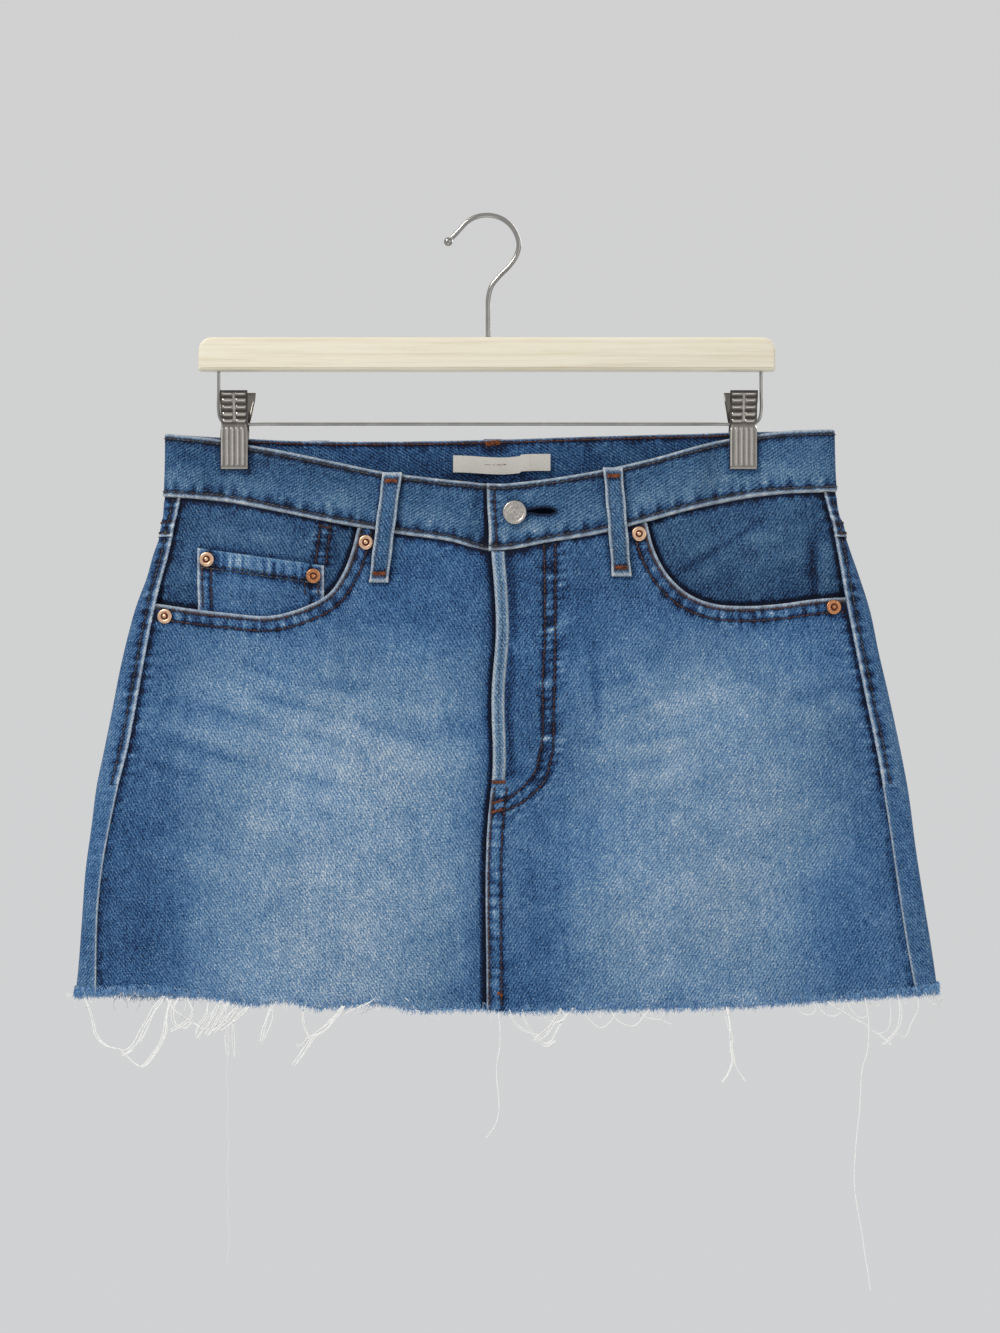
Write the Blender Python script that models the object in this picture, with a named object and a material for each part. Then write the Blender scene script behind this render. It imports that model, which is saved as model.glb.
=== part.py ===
# Denim mini skirt with a raw frayed hem, held by two clips on a wooden hanger.
# Metres, +Z up, +X to the wearer's left (seen on the right from the front), the front faces -Y.
# The origin is the inside of the hook's crown, where the hanger is held.
# The cloth follows one closed ring surface S(q, z): q runs from -1 (left fold) over 0 (centre front)
# and 1 (right fold) to 2 (centre back) and 3 (left fold again). Each piece is a wall between two
# offsets from that surface, so pieces that lie on each other share its points.
import math

import bmesh
import bpy
from mathutils import Vector

MM = 0.001

# ---- driving dimensions, in millimetres -------------------------------------------------
CLOTH = 1.4            # wall of a denim panel
BAND_OUT, BAND_IN = 0.6, -2.4   # folded waistband, 3 mm through
GAP = 0.3              # clearance between pieces at seams
FOLD_POWER = 0.65      # how square the side folds are
PINCH = 2.6            # half distance of front and back between the clip jaws
CLIP_X = (-155.8, 156.7)
CLIP_W = 17.0
CLIP_TOP, CLIP_LOW, WIRE_Z = -107.0, -155.0, -127.0
BAR_X, BAR_Z, BAR_D = (-177.7, 176.3), (-94.6, -74.0), 12.0
HOOK_D, UWIRE_D, THREAD_D = 3.0, 2.0, 0.7
RIVET_R, BUTTON_R = 4.5, 7.3
LOOP_W = 11.6
UNDERLAP = 3.3         # how far the button side of the fly lies behind the other
YOKE_SIDE, YOKE_BACK = -196.5, -236.0

# outline of the skirt seen from the front: (z, x)
OUT_L = [(-120, -198.0), (-133, -198.3), (-172, -199.2), (-187, -200.3), (-198, -202.6), (-207, -205.7),
         (-221, -209.6), (-238, -215.9), (-260, -222.0), (-277, -225.9), (-303, -230.9), (-328, -235.9),
         (-348, -240.1), (-375, -243.6), (-401, -247.1), (-430, -249.2), (-465, -251.9), (-477, -253.2)]
OUT_R = [(-120, 211.8), (-131, 212.3), (-170, 214.1), (-180, 215.3), (-191, 218.4), (-202, 221.6),
         (-219, 227.5), (-240, 234.2), (-269, 240.3), (-290, 245.2), (-318, 251.3), (-353, 258.0),
         (-386, 262.3), (-422, 267.8), (-448, 272.0), (-470, 275.2)]
# side seams, which lie on the front because the back wraps forward: (z, x)
SEAM_L = [(-165, -187.4), (-175, -188.9), (-190, -192.0), (-207, -195.6), (-227, -201.0), (-246, -205.2),
          (-269, -209.6), (-302, -215.5), (-328, -220.6), (-349, -226.0), (-373, -231.2), (-395, -235.2),
          (-423, -238.4), (-458, -239.4), (-477, -239.4)]
SEAM_R = [(-165, 204.6), (-175, 207.2), (-187, 210.4), (-211, 215.0), (-233, 218.6), (-259, 223.6),
          (-294, 230.6), (-326, 237.2), (-351, 241.6), (-379, 246.0), (-418, 251.6), (-451, 256.8),
          (-476, 261.6)]
# waistband edges: (x, z)
BAND_TOP_F = [(-198.3, -133.0), (-187.9, -134.2), (-164.7, -136.7), (-147.0, -139.9), (-113.5, -146.7),
              (-88.5, -152.0), (-63.4, -157.2), (-38.4, -160.4), (-14.0, -163.0), (9.2, -164.4),
              (24.8, -162.9), (71.4, -155.5), (103.1, -148.2), (129.3, -140.8), (147.6, -136.2),
              (164.7, -133.5), (182.2, -131.8), (212.3, -130.5)]
BAND_LOW_F = [(-199.2, -171.9), (-158.2, -175.4), (-127.1, -181.6), (-96.0, -188.0), (-68.0, -192.9),
              (-54.6, -195.2), (-22.0, -200.0), (0.0, -205.6), (14.0, -204.8), (34.1, -200.9),
              (71.4, -194.3), (87.0, -190.4), (129.3, -179.0), (161.7, -172.2), (203.7, -169.3),
              (214.3, -168.8)]
BAND_TOP_B = [(-198.3, -133.0), (-147.0, -136.0), (-84.0, -137.3), (3.0, -136.1), (68.0, -134.0),
              (146.0, -132.2), (212.3, -130.5)]
BAND_LOW_B = [(-199.2, -171.9), (-100.0, -175.5), (0.0, -176.5), (100.0, -173.5), (214.3, -168.8)]
# pocket mouths, from the side seam to the waistband: (x, z)
POCKET_L = [(-203.0, -237.6), (-180.0, -241.0), (-158.2, -243.5), (-131.8, -245.0), (-111.6, -239.5),
            (-97.6, -231.9), (-88.5, -219.0), (-83.4, -206.0), (-79.7, -191.4)]
POCKET_R = [(219.0, -233.7), (200.6, -234.9), (177.3, -238.0), (153.7, -239.2), (138.3, -238.0),
            (122.6, -231.9), (110.4, -220.9), (101.7, -205.3), (97.0, -188.2)]
# fly edge (the right front laps over the left), which runs on as the centre seam: (z, x)
FLY_X = [(-200, 1.6), (-207, 2.2), (-254, 5.0), (-291, 2.4), (-344, 2.6), (-360, 0.8), (-483, -0.9)]
# raw hem: (x, z)
HEM_F = [(-253.5, -476.3), (-185.4, -476.8), (-99.7, -481.0), (-0.6, -484.0), (89.7, -484.0),
         (192.0, -480.4), (276.0, -474.0)]
HEM_B = [(-253.5, -476.5), (-180.0, -479.0), (-90.0, -482.0), (0.0, -484.0), (100.0, -482.5),
         (200.0, -478.0), (276.0, -474.0)]
# how far the fringe hangs below the hem: (x, reach)
FRINGE_F = [(-250, 5), (-244, 16), (-238, 27), (-226, 34), (-212, 43), (-200, 32), (-190, 24), (-178, 20),
            (-167, 34), (-156, 25), (-142, 12), (-131, 26), (-124, 12), (-117, 44), (-106, 40), (-95, 14),
            (-78, 5), (-48, 4), (-18, 5), (-4, 8), (8, 20), (20, 18), (31, 33), (46, 31), (60, 13),
            (82, 14), (110, 10), (130, 6), (140, 30), (147, 49), (156, 46), (165, 14), (182, 6), (200, 12),
            (214, 14), (224, 22), (240, 29), (248, 30), (257, 22), (263, 16), (269, 12), (272, 6)]
FRINGE_B = [(-250, 5), (-238, 14), (-215, 18), (-190, 9), (-160, 14), (-130, 7), (-90, 16), (-50, 8),
            (-10, 12), (30, 9), (75, 18), (115, 8), (150, 13), (190, 22), (225, 9), (250, 14), (272, 6)]
# depth of the ring: (z, y) at the folds, at the centre front and at the centre back
Y_MID = [(-120, 0.0), (-172, 0.0), (-300, -1.6), (-480, -3.0)]
Y_FRONT = [(-120, -12.4), (-172, -13.2), (-240, -16.8), (-350, -20.2), (-480, -22.0)]
Y_BACK = [(-120, 7.2), (-172, 8.4), (-240, 10.6), (-350, 13.0), (-480, 14.6)]
# two loose threads at the hem: (x, z), hanging just in front of the fringe
THREAD_C = [(6.3, -485.9), (7.4, -498), (7.0, -508), (5.4, -517), (5.2, -526), (6.4, -536), (6.6, -546),
            (4.6, -554), (1.4, -559), (-1.0, -562)]
THREAD_R = [(230.0, -478.4), (231.6, -489), (232.0, -500), (231.0, -511), (228.0, -521), (227.0, -534),
            (226.2, -548), (224.6, -562), (223.4, -577), (223.2, -592), (225.0, -606), (227.6, -620),
            (229.6, -634), (231.6, -646), (233.0, -656)]


def curve(points):
    """A smooth curve through (key, value) pairs, straight beyond both ends."""
    pts = sorted(points)
    xs = [p[0] for p in pts]
    ys = [p[1] for p in pts]
    n = len(xs)
    slope = [(ys[i + 1] - ys[i]) / (xs[i + 1] - xs[i]) for i in range(n - 1)]
    tan = [slope[0]]
    for i in range(1, n - 1):
        a, b = slope[i - 1], slope[i]
        h0, h1 = xs[i] - xs[i - 1], xs[i + 1] - xs[i]
        tan.append((a * h1 + b * h0) / (h0 + h1))
    tan.append(slope[-1])

    def f(x):
        if x <= xs[0]:
            return ys[0] + tan[0] * (x - xs[0])
        if x >= xs[-1]:
            return ys[-1] + tan[-1] * (x - xs[-1])
        lo, hi = 0, n - 1
        while hi - lo > 1:
            m = (lo + hi) // 2
            if xs[m] <= x:
                lo = m
            else:
                hi = m
        h = xs[hi] - xs[lo]
        t = (x - xs[lo]) / h
        t2, t3 = t * t, t * t * t
        return ((2 * t3 - 3 * t2 + 1) * ys[lo] + (t3 - 2 * t2 + t) * h * tan[lo]
                + (-2 * t3 + 3 * t2) * ys[hi] + (t3 - t2) * h * tan[hi])
    return f


out_l, out_r, seam_l, seam_r = curve(OUT_L), curve(OUT_R), curve(SEAM_L), curve(SEAM_R)
band_top_f, band_low_f, band_top_b, band_low_b = (curve(BAND_TOP_F), curve(BAND_LOW_F),
                                                  curve(BAND_TOP_B), curve(BAND_LOW_B))
fly_x, hem_f, hem_b = curve(FLY_X), curve(HEM_F), curve(HEM_B)
fringe_f, fringe_b = curve(FRINGE_F), curve(FRINGE_B)
y_mid, y_front, y_back = curve(Y_MID), curve(Y_FRONT), curve(Y_BACK)


def smooth(a, b, v):
    t = min(1.0, max(0.0, (v - a) / (b - a)))
    return t * t * (3 - 2 * t)


def bump(v, centre, width):
    return math.exp(-((v - centre) / width) ** 2)


def pinch(x, z):
    """1 between the clip jaws, falling to 0 around them."""
    d = min(abs(x - CLIP_X[0]), abs(x - CLIP_X[1]))
    return (1 - smooth(11.0, 32.0, d)) * smooth(-188.0, -162.0, z)


def surface(q, z):
    """The outer face of the panels, in millimetres."""
    xl, xr = out_l(z), out_r(z)
    xc, a = (xl + xr) / 2, (xr - xl) / 2
    s, c = math.sin(q * math.pi / 2), math.cos(q * math.pi / 2)
    x = xc + a * s
    mid = y_mid(z)
    k = abs(c) ** FOLD_POWER
    low = smooth(-215, -460, z) if z > -460 else 1.0
    if c >= 0:
        h = (mid - y_front(z)) * k
        h += low * math.sqrt(abs(c)) * (4.0 * bump(x, 118, 62) + 3.4 * bump(x, -72, 64) - 3.0 * bump(x, 44, 26))
        sign = -1.0
    else:
        h = (y_back(z) - mid) * k
        h += low * math.sqrt(abs(c)) * (3.0 * bump(x, 95, 60) + 3.2 * bump(x, -120, 58) - 2.0 * bump(x, -10, 30))
        sign = 1.0
    p = pinch(x, z)
    if h > PINCH:
        h += (PINCH - h) * p
    return Vector((x, mid + sign * h, z))


def normal(q, z):
    e = 0.004
    dq = surface(q + e, z) - surface(q - e, z)
    dz = surface(q, z + 1.0) - surface(q, z - 1.0)
    return dq.cross(dz).normalized()


def at(q, z, d=0.0):
    return surface(q, z) + normal(q, z) * d


def q_front(x, z):
    """Ring position of a point of the front, from x."""
    xl, xr = out_l(z), out_r(z)
    s = (x - (xl + xr) / 2) / ((xr - xl) / 2)
    return math.asin(max(-1.0, min(1.0, s))) * 2 / math.pi


def q_back(x, z):
    return 2.0 - q_front(x, z)


# ---- building ---------------------------------------------------------------------------
for ob in list(bpy.data.objects):
    bpy.data.objects.remove(ob, do_unlink=True)


def material(name, colour, rough, metal=0.0):
    m = bpy.data.materials.new(name)
    m.use_nodes = True
    p = m.node_tree.nodes["Principled BSDF"]
    p.inputs["Base Color"].default_value = (*colour, 1.0)
    p.inputs["Roughness"].default_value = rough
    p.inputs["Metallic"].default_value = metal
    m.diffuse_color = (*colour, 1.0)
    return m


DENIM = material("denim", (0.098, 0.205, 0.376), 0.85)
DENIM_PALE = material("denim_pale", (0.25, 0.40, 0.56), 0.85)
THREAD = material("cotton_white", (0.80, 0.80, 0.78), 0.9)
COPPER = material("copper", (0.58, 0.27, 0.16), 0.35, 1.0)
SILVER = material("button_metal", (0.42, 0.41, 0.40), 0.35, 1.0)
LABEL = material("label_cotton", (0.84, 0.82, 0.74), 0.8)
WOOD = material("pale_wood", (0.83, 0.76, 0.60), 0.55)
STEEL = material("steel", (0.35, 0.34, 0.33), 0.3, 1.0)


def add(name, bm, mat, rounded=False):
    bmesh.ops.recalc_face_normals(bm, faces=bm.faces)
    me = bpy.data.meshes.new(name)
    bm.to_mesh(me)
    bm.free()
    ob = bpy.data.objects.new(name, me)
    bpy.context.scene.collection.objects.link(ob)
    me.materials.append(mat)
    if rounded:
        me.shade_smooth()
        me.set_sharp_from_angle(angle=math.radians(35))
    return ob


def wall(name, grid, mat=None):
    """A closed wall from columns of (q, z, outer offset, inner offset)."""
    bm = bmesh.new()
    outer, inner = [], []
    for column in grid:
        o, i = [], []
        for q, z, d1, d0 in column:
            p, n = surface(q, z), normal(q, z)
            o.append(bm.verts.new((p + n * d1) * MM))
            i.append(bm.verts.new((p + n * d0) * MM))
        outer.append(o)
        inner.append(i)
    nc, nr = len(outer), len(outer[0])
    for a in range(nc - 1):
        for b in range(nr - 1):
            bm.faces.new((outer[a][b], outer[a + 1][b], outer[a + 1][b + 1], outer[a][b + 1]))
            bm.faces.new((inner[a][b], inner[a][b + 1], inner[a + 1][b + 1], inner[a + 1][b]))
    for a in range(nc - 1):
        bm.faces.new((outer[a][0], inner[a][0], inner[a + 1][0], outer[a + 1][0]))
        bm.faces.new((outer[a][-1], outer[a + 1][-1], inner[a + 1][-1], inner[a][-1]))
    for b in range(nr - 1):
        bm.faces.new((outer[0][b], outer[0][b + 1], inner[0][b + 1], inner[0][b]))
        bm.faces.new((outer[-1][b], inner[-1][b], inner[-1][b + 1], outer[-1][b + 1]))
    return add(name, bm, mat or DENIM, rounded=True)


def steps(a, b, n):
    return [a + (b - a) * i / n for i in range(n + 1)]


# ---- front panels: slanted columns from the side seam to the fly ---------------------------
def front_panel(name, side, pocket, inner_edge, tuck, waist_xs):
    """Columns are lines of constant share between the side seam and the inner edge."""
    tops = list(pocket) + [(x, band_low_f(x) - GAP) for x in waist_xs]
    grid = []
    for k, (px, pz) in enumerate(tops):
        if k == 0:
            share = 0.0
        elif k == len(tops) - 1:
            share = 1.0
        else:
            share = (px - side(pz)) / (inner_edge(pz) - side(pz))
        column = []
        for t in (0.0, 0.06, 0.14, 0.24, 0.36, 0.5, 0.65, 0.82, 1.0):
            # the hem is met where the column crosses it
            foot = pz
            for _ in range(4):
                xf = side(foot) + (inner_edge(foot) - side(foot)) * share
                foot = hem_f(xf)
            z = pz + (foot - pz) * t
            x = side(z) + (inner_edge(z) - side(z)) * share
            d = tuck(x, z)
            column.append((q_front(x, z), z, d, d - CLOTH))
        grid.append(column)
    return wall(name, grid)


front_panel("front_left", lambda z: seam_l(z) + 0.2, POCKET_L, lambda z: fly_x(z) + 9.0,
            lambda x, z: -1.8 * smooth(-9.0, -2.0, x - fly_x(z)),
            (-66.0, -50.0, -34.0, -20.0, -8.0, 1.0, 9.0))
front_panel("front_right", lambda z: seam_r(z) - 0.2, POCKET_R, fly_x, lambda x, z: 0.0,
            (84.0, 70.0, 54.0, 38.0, 20.0, 10.0, 2.0))


# ---- back yokes and panels ------------------------------------------------------------------
# column positions on the back, from the side seam round the fold to the centre back
RING = (0.0, 0.3, 0.6, 1.0)
BACK_Q = (1.0, 1.035, 1.09, 1.17, 1.27, 1.385, 1.5, 1.605, 1.71, 1.815, 1.92, 2.0)
SEAM_HALF = 0.15


def back_columns(right):
    """Each column is a function from z to q."""
    cols = []
    for t in RING[:-1]:
        if right:
            cols.append(lambda z, t=t: q_front(seam_r(z) + 0.2, z) * (1 - t) + t)
        else:
            cols.append(lambda z, t=t: 4.0 + q_front(seam_l(z) - 0.2, z) * (1 - t) - t)
    for q in BACK_Q[:-1]:
        cols.append(lambda z, q=q: q if right else 4.0 - q)
    shift = SEAM_HALF / 230.0 * 2 / math.pi
    cols.append(lambda z: 2.0 - shift if right else 2.0 + shift)
    return cols


def yoke_z(q):
    """The yoke seam, lower at the centre back."""
    share = min(1.0, max(0.0, (1.0 - abs(q - 2.0)) / 1.0)) if abs(q - 2.0) < 1.0 else 0.0
    return YOKE_SIDE + (YOKE_BACK - YOKE_SIDE) * share


def fold_x(q, z):
    return surface(q, z).x


def band_low(q, z):
    c = math.cos(q * math.pi / 2)
    return band_low_f(fold_x(q, z)) if c > 0 else band_low_b(fold_x(q, z))


def hem_z(q, z):
    c = math.cos(q * math.pi / 2)
    return hem_f(fold_x(q, z)) if c > 0 else hem_b(fold_x(q, z))


POCKET_TOP, POCKET_LOW, POCKET_POINT = -268.0, -392.0, 16.0
POCKET_COLS = (1.5, 1.605, 1.71, 1.815, 1.92)


def back_rows(q):
    """Heights of the back panel's rows; two of them are the patch pocket's edges."""
    m = abs(q - 2.0)
    point = POCKET_POINT * max(0.0, 1.0 - abs(m - 0.29) / 0.21)
    top = yoke_z(q) - GAP
    foot = hem_z(q, -480.0)
    return [top, (top + POCKET_TOP) / 2, POCKET_TOP, POCKET_TOP - 44, POCKET_TOP - 86,
            POCKET_LOW - point, (POCKET_LOW - point + foot) / 2, foot]


for right, tag in ((False, "left"), (True, "right")):
    cols = back_columns(right)
    yoke, panel = [], []
    for f in cols:
        top = -173.0
        for _ in range(4):
            top = band_low(f(top), top) - GAP
        low = yoke_z(f(YOKE_SIDE))
        yoke.append([(f(z), z, 0.0, -CLOTH) for z in steps(top, low, 3)])
        panel.append([(f(z), z, 0.0, -CLOTH) for z in back_rows(f(YOKE_SIDE))])
    wall("yoke_" + tag, yoke)
    wall("back_" + tag, panel)
    patch = []
    for q0 in POCKET_COLS:
        q = q0 if right else 4.0 - q0
        patch.append([(q, z, 1.5, GAP) for z in back_rows(q)[2:6]])
    wall("back_pocket_" + tag, patch)

# ---- waistband: one strip, lapped at the centre front ---------------------------------------
band = []
half = (0.4, 7.0, 16.0, 28.0, 42.0, 56.0, 70.0, 86.0, 102.0, 118.0, 126.0, 136.0, 146.0, 157.0, 168.0,
        177.0, 187.0, 197.0, 204.5, 209.0)
Z_BAND = -152.0
qs = [q_front(x, Z_BAND) for x in half]
qs += [0.96, 0.985, 1.0, 1.015, 1.04]
back = [208.5, 203.5, 196.0, 187.0, 177.0, 168.0, 157.0, 146.0, 136.0, 126.0, 118.0, 100.0, 80.0, 60.0,
        38.0, 20.0, 2.0, -21.5, -42.0, -64.0, -86.0, -106.0, -118.0, -126.0, -136.0, -145.0, -156.0,
        -167.0, -175.0, -183.0, -190.0, -194.5]
qs += [q_back(x, Z_BAND) for x in back]
qs += [2.96, 2.985, 3.0, 3.015, 3.04]
front_left_xs = (-195.0, -190.0, -183.0, -175.0, -167.0, -156.0, -145.0, -136.0, -126.0, -118.0, -102.0,
                 -86.0, -70.0, -54.0, -40.0, -26.0, -14.0, -8.0, -2.0, 6.0, 16.0, 27.0, 38.0)
qs += [4.0 + q_front(x, Z_BAND) for x in front_left_xs]
for q in qs:
    x = fold_x(q, Z_BAND)
    c = math.cos(q * math.pi / 2)
    top, low = Z_BAND, Z_BAND
    for _ in range(4):
        top = (band_top_f if c > 0 else band_top_b)(fold_x(q, top))
        low = (band_low_f if c > 0 else band_low_b)(fold_x(q, low))
    lap = q > 3.5
    d = -UNDERLAP * smooth(-11.0, -2.0, x) if lap else 0.0
    if lap and x > -8:      # the button side is a little shorter, behind the other
        low = low + 1.2 * smooth(-8.0, 0.0, x)
        top = top - 1.2 * smooth(-8.0, 0.0, x)
    band.append([(q, z, BAND_OUT + d, BAND_IN + d) for z in steps(top, low, 3)])
wall("waistband", band)

# ---- pocket facings, seen inside the pocket mouths, and the coin pocket ----------------------
def distance(x, z, line):
    best = 1e9
    for (x0, z0), (x1, z1) in zip(line, line[1:]):
        dx, dz = x1 - x0, z1 - z0
        t = max(0.0, min(1.0, ((x - x0) * dx + (z - z0) * dz) / (dx * dx + dz * dz)))
        best = min(best, math.hypot(x - x0 - t * dx, z - z0 - t * dz))
    return best


pocket_l_z = curve([p for p in POCKET_L])
pocket_r_z = curve([p for p in POCKET_R])


def facing_depth(x, z, right):
    """Deep below the pocket's edge, rising to the seam level away from it."""
    line = POCKET_R if right else POCKET_L
    inside = z > (pocket_r_z if right else pocket_l_z)(x) and (x > 97.0 if right else x < -80.0)
    rise = smooth(5.0, 21.0, distance(x, z, line)) if inside else 0.0
    return -3.1 + 2.7 * rise


def coin_top(x):
    return -203.8 - 10.9 * (x + 176.9) / 77.8


FACING_LOW_L = curve([(-205, -256), (-160, -262), (-130, -262), (-108, -258), (-92, -252), (-80, -246), (-70, -240)])
FACING_LOW_R = curve([(88, -238), (98, -246), (112, -254), (140, -258), (180, -256), (222, -252)])
facing_xs = (None, -184.0, -177.6, -166.0, -153.0, -140.0, -127.0, -113.5, -100.3, -92.0, -84.0, -77.0, -70.0)
facing, coin = [], []
for x0 in facing_xs:
    def px(z, x0=x0):
        return seam_l(z) + 0.2 if x0 is None else x0
    xr = px(-205.0)
    top = band_low_f(px(-173.0)) - GAP
    ct = coin_top(xr)
    low = FACING_LOW_L(xr)
    mouth = pocket_l_z(xr) + 5.0
    if xr < -90.0:      # rows follow the coin pocket's top and the pocket's mouth
        zs = [top, (top + ct) / 2, ct, ct + (mouth - ct) * 0.35, ct + (mouth - ct) * 0.7, mouth, mouth - 11.0, low]
    else:
        zs = steps(top, low, 7)
    column = []
    for z in zs:
        x = px(z)
        d = facing_depth(x, z, False)
        column.append((q_front(x, z), z, d, d - 1.2))
    facing.append(column)
    if x0 is not None and -178.0 < x0 < -100.0:
        coin.append([(q, z, d + GAP + 1.1, d + GAP) for q, z, d, _ in column[2:7]])
wall("pocket_facing_left", facing)
wall("coin_pocket", coin)
facing = []
for x0 in (None, 206.0, 198.0, 186.0, 172.0, 158.0, 144.0, 132.0, 121.0, 112.0, 104.0, 96.0, 88.0):
    def px(z, x0=x0):
        return seam_r(z) - 0.2 if x0 is None else min(x0, seam_r(z) - 0.2)
    if x0 == 206.0:
        def px(z):
            return seam_r(z) - 5.0
    xr = px(-205.0)
    top = band_low_f(px(-172.0)) - GAP
    low = FACING_LOW_R(xr)
    column = []
    for t in (0.0, 0.16, 0.32, 0.48, 0.64, 0.8, 1.0):
        z = top + (low - top) * t
        x = px(z)
        d = facing_depth(x, z, True)
        column.append((q_front(x, z), z, d, d - 1.2))
    facing.append(column)
wall("pocket_facing_right", facing)

# ---- fly edge: the folded edge that stands up along the fly ----------------------------------
edge = []
for t in (0.2, 2.6, 5.2, 7.6):
    crown = 1.0 if t in (0.2, 7.6) else 1.3
    edge.append([(q_front(fly_x(z) + t, z), z, crown, GAP) for z in steps(-206.6, -345.0, 10)])
wall("fly_edge", edge)


# ---- belt loops ------------------------------------------------------------------------------
def belt_loop(name, top, low, back=False):
    to_q = q_back if back else q_front
    grid = []
    for side in (-1, 0, 1):
        column = []
        for t in (0.0, 0.08, 0.2, 0.35, 0.5, 0.65, 0.8, 0.92, 1.0):
            z = top[1] + (low[1] - top[1]) * t
            xm = top[0] + (low[0] - top[0]) * t
            x = xm + side * LOOP_W / 2 * (-1 if back else 1)
            lift = (BAND_OUT + GAP + 0.1) * (1 - smooth(0.62, 0.9, t)) + (GAP + 0.1) * smooth(0.62, 0.9, t)
            lift += 1.3 * math.sin(math.pi * t) ** 0.8
            column.append((to_q(x, z), z, lift + 1.9, lift))
        grid.append(column)
    wall(name, grid, DENIM)


belt_loop("belt_loop_front_left", (-58.4, -157.6), (-66.7, -225.0))
belt_loop("belt_loop_front_right", (76.1, -154.6), (81.5, -221.2))
belt_loop("belt_loop_back_left", (-104.0, -136.6), (-106.0, -203.0), back=True)
belt_loop("belt_loop_back_right", (110.0, -132.8), (112.0, -200.0), back=True)
belt_loop("belt_loop_back_centre", (3.0, -135.6), (3.0, -202.0), back=True)

# ---- label inside the back of the waistband ---------------------------------------------------
wall("size_label", [[(q_back(x, z), z, BAND_IN - GAP, BAND_IN - GAP - 0.7) for z in (-145.6, -150.9, -156.3)]
                    for x in steps(-21.6, 38.4, 6)], LABEL)

# ---- fringe: a plain wall of the threads' reach ------------------------------------------------
for name, table, reach, hem, to_q, tail in (("hem_fringe_front", FRINGE_F, fringe_f, hem_f, q_front, 1),
                                            ("hem_fringe_back", FRINGE_B, fringe_b, hem_b, q_back, -1)):
    grid = []
    for x, r in table:
        z0 = hem(x) - GAP - 0.3
        grid.append([(to_q(x, z0), z, 0.0, -CLOTH) for z in (z0, z0 - r)])
    wall(name, grid, THREAD)


# ---- round metal: rivets and the button --------------------------------------------------------
def turned(name, centre, axis, profile, mat, seg=16):
    """Turn (radius, height) pairs, from the base's centre outwards and up, round an axis."""
    z = axis.normalized()
    x = z.cross(Vector((0, 0, 1))).normalized()
    y = z.cross(x)
    bm = bmesh.new()
    rings = []
    for r, h in profile:
        if r == 0:
            rings.append([bm.verts.new((centre + z * h) * MM)])
        else:
            rings.append([bm.verts.new((centre + z * h + (x * math.cos(a) + y * math.sin(a)) * r) * MM)
                          for a in (2 * math.pi * k / seg for k in range(seg))])
    for a, b in zip(rings, rings[1:]):
        for k in range(seg):
            m = (k + 1) % seg
            if len(a) == 1:
                bm.faces.new((a[0], b[k], b[m]))
            elif len(b) == 1:
                bm.faces.new((a[k], b[0], a[m]))
            else:
                bm.faces.new((a[k], b[k], b[m], a[m]))
    return add(name, bm, mat, rounded=True)


RIVET = [(0, 0), (RIVET_R, 0), (RIVET_R, 0.7), (3.4, 1.2), (1.7, 1.3), (1.3, 2.1), (0, 2.2)]
BUTTON = [(0, 0), (BUTTON_R - 0.8, 0), (BUTTON_R, 0.8), (BUTTON_R, 1.9), (BUTTON_R - 1.0, 2.6), (4.4, 2.2), (0, 2.4)]


def on_front(name, x, z, d, profile, mat, seg=16):
    q = q_front(x, z)
    turned(name, at(q, z, d), normal(q, z), profile, mat, seg)


on_front("rivet_left_inner", -74.5, -200.4, 0.45, RIVET, COPPER)
on_front("rivet_left_outer", -197.6, -245.5, 0.6, RIVET, COPPER)
on_front("rivet_right_inner", 92.2, -195.2, 0.45, RIVET, COPPER)
on_front("rivet_right_outer", 211.3, -239.8, 0.6, RIVET, COPPER)
on_front("rivet_coin_outer", -171.8, -210.8, facing_depth(-172, -211, False) + GAP + 1.1 + 0.4, RIVET, COPPER)


def coin_face(x, z):
    return at(q_front(x, z), z, facing_depth(x, z, False) + GAP + 1.1)


c0 = coin_face(-106.5, -220.9)
nn = (coin_face(-101.5, -220.9) - coin_face(-111.5, -220.9)).cross(coin_face(-106.5, -216.5) - coin_face(-106.5, -225.3)).normalized()
turned("rivet_coin_inner", c0 + nn * 0.9, nn, RIVET, COPPER)
on_front("button", 16.2, -182.3, BAND_OUT + 0.4, BUTTON, SILVER, 24)

# ---- hanger ------------------------------------------------------------------------------------
bm = bmesh.new()
r = 8.0
outline = [(BAR_X[0], BAR_Z[0]), (BAR_X[1], BAR_Z[0])]
outline += [(BAR_X[1] - r + r * math.cos(a), BAR_Z[1] - r + r * math.sin(a)) for a in steps(0, math.pi / 2, 6)]
outline += [(BAR_X[0] + r + r * math.cos(a), BAR_Z[1] - r + r * math.sin(a)) for a in steps(math.pi / 2, math.pi, 6)]
face = bm.faces.new([bm.verts.new((x * MM, -BAR_D / 2 * MM, z * MM)) for x, z in outline])
out = bmesh.ops.extrude_face_region(bm, geom=[face])
bmesh.ops.translate(bm, vec=(0, BAR_D * MM, 0), verts=[v for v in out["geom"] if isinstance(v, bmesh.types.BMVert)])
bar = add("hanger_bar", bm, WOOD, rounded=True)
bev = bar.modifiers.new("Bevel", "BEVEL")
bev.width, bev.segments, bev.limit_method, bev.angle_limit = 1.2 * MM, 2, "ANGLE", math.radians(50)


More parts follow.
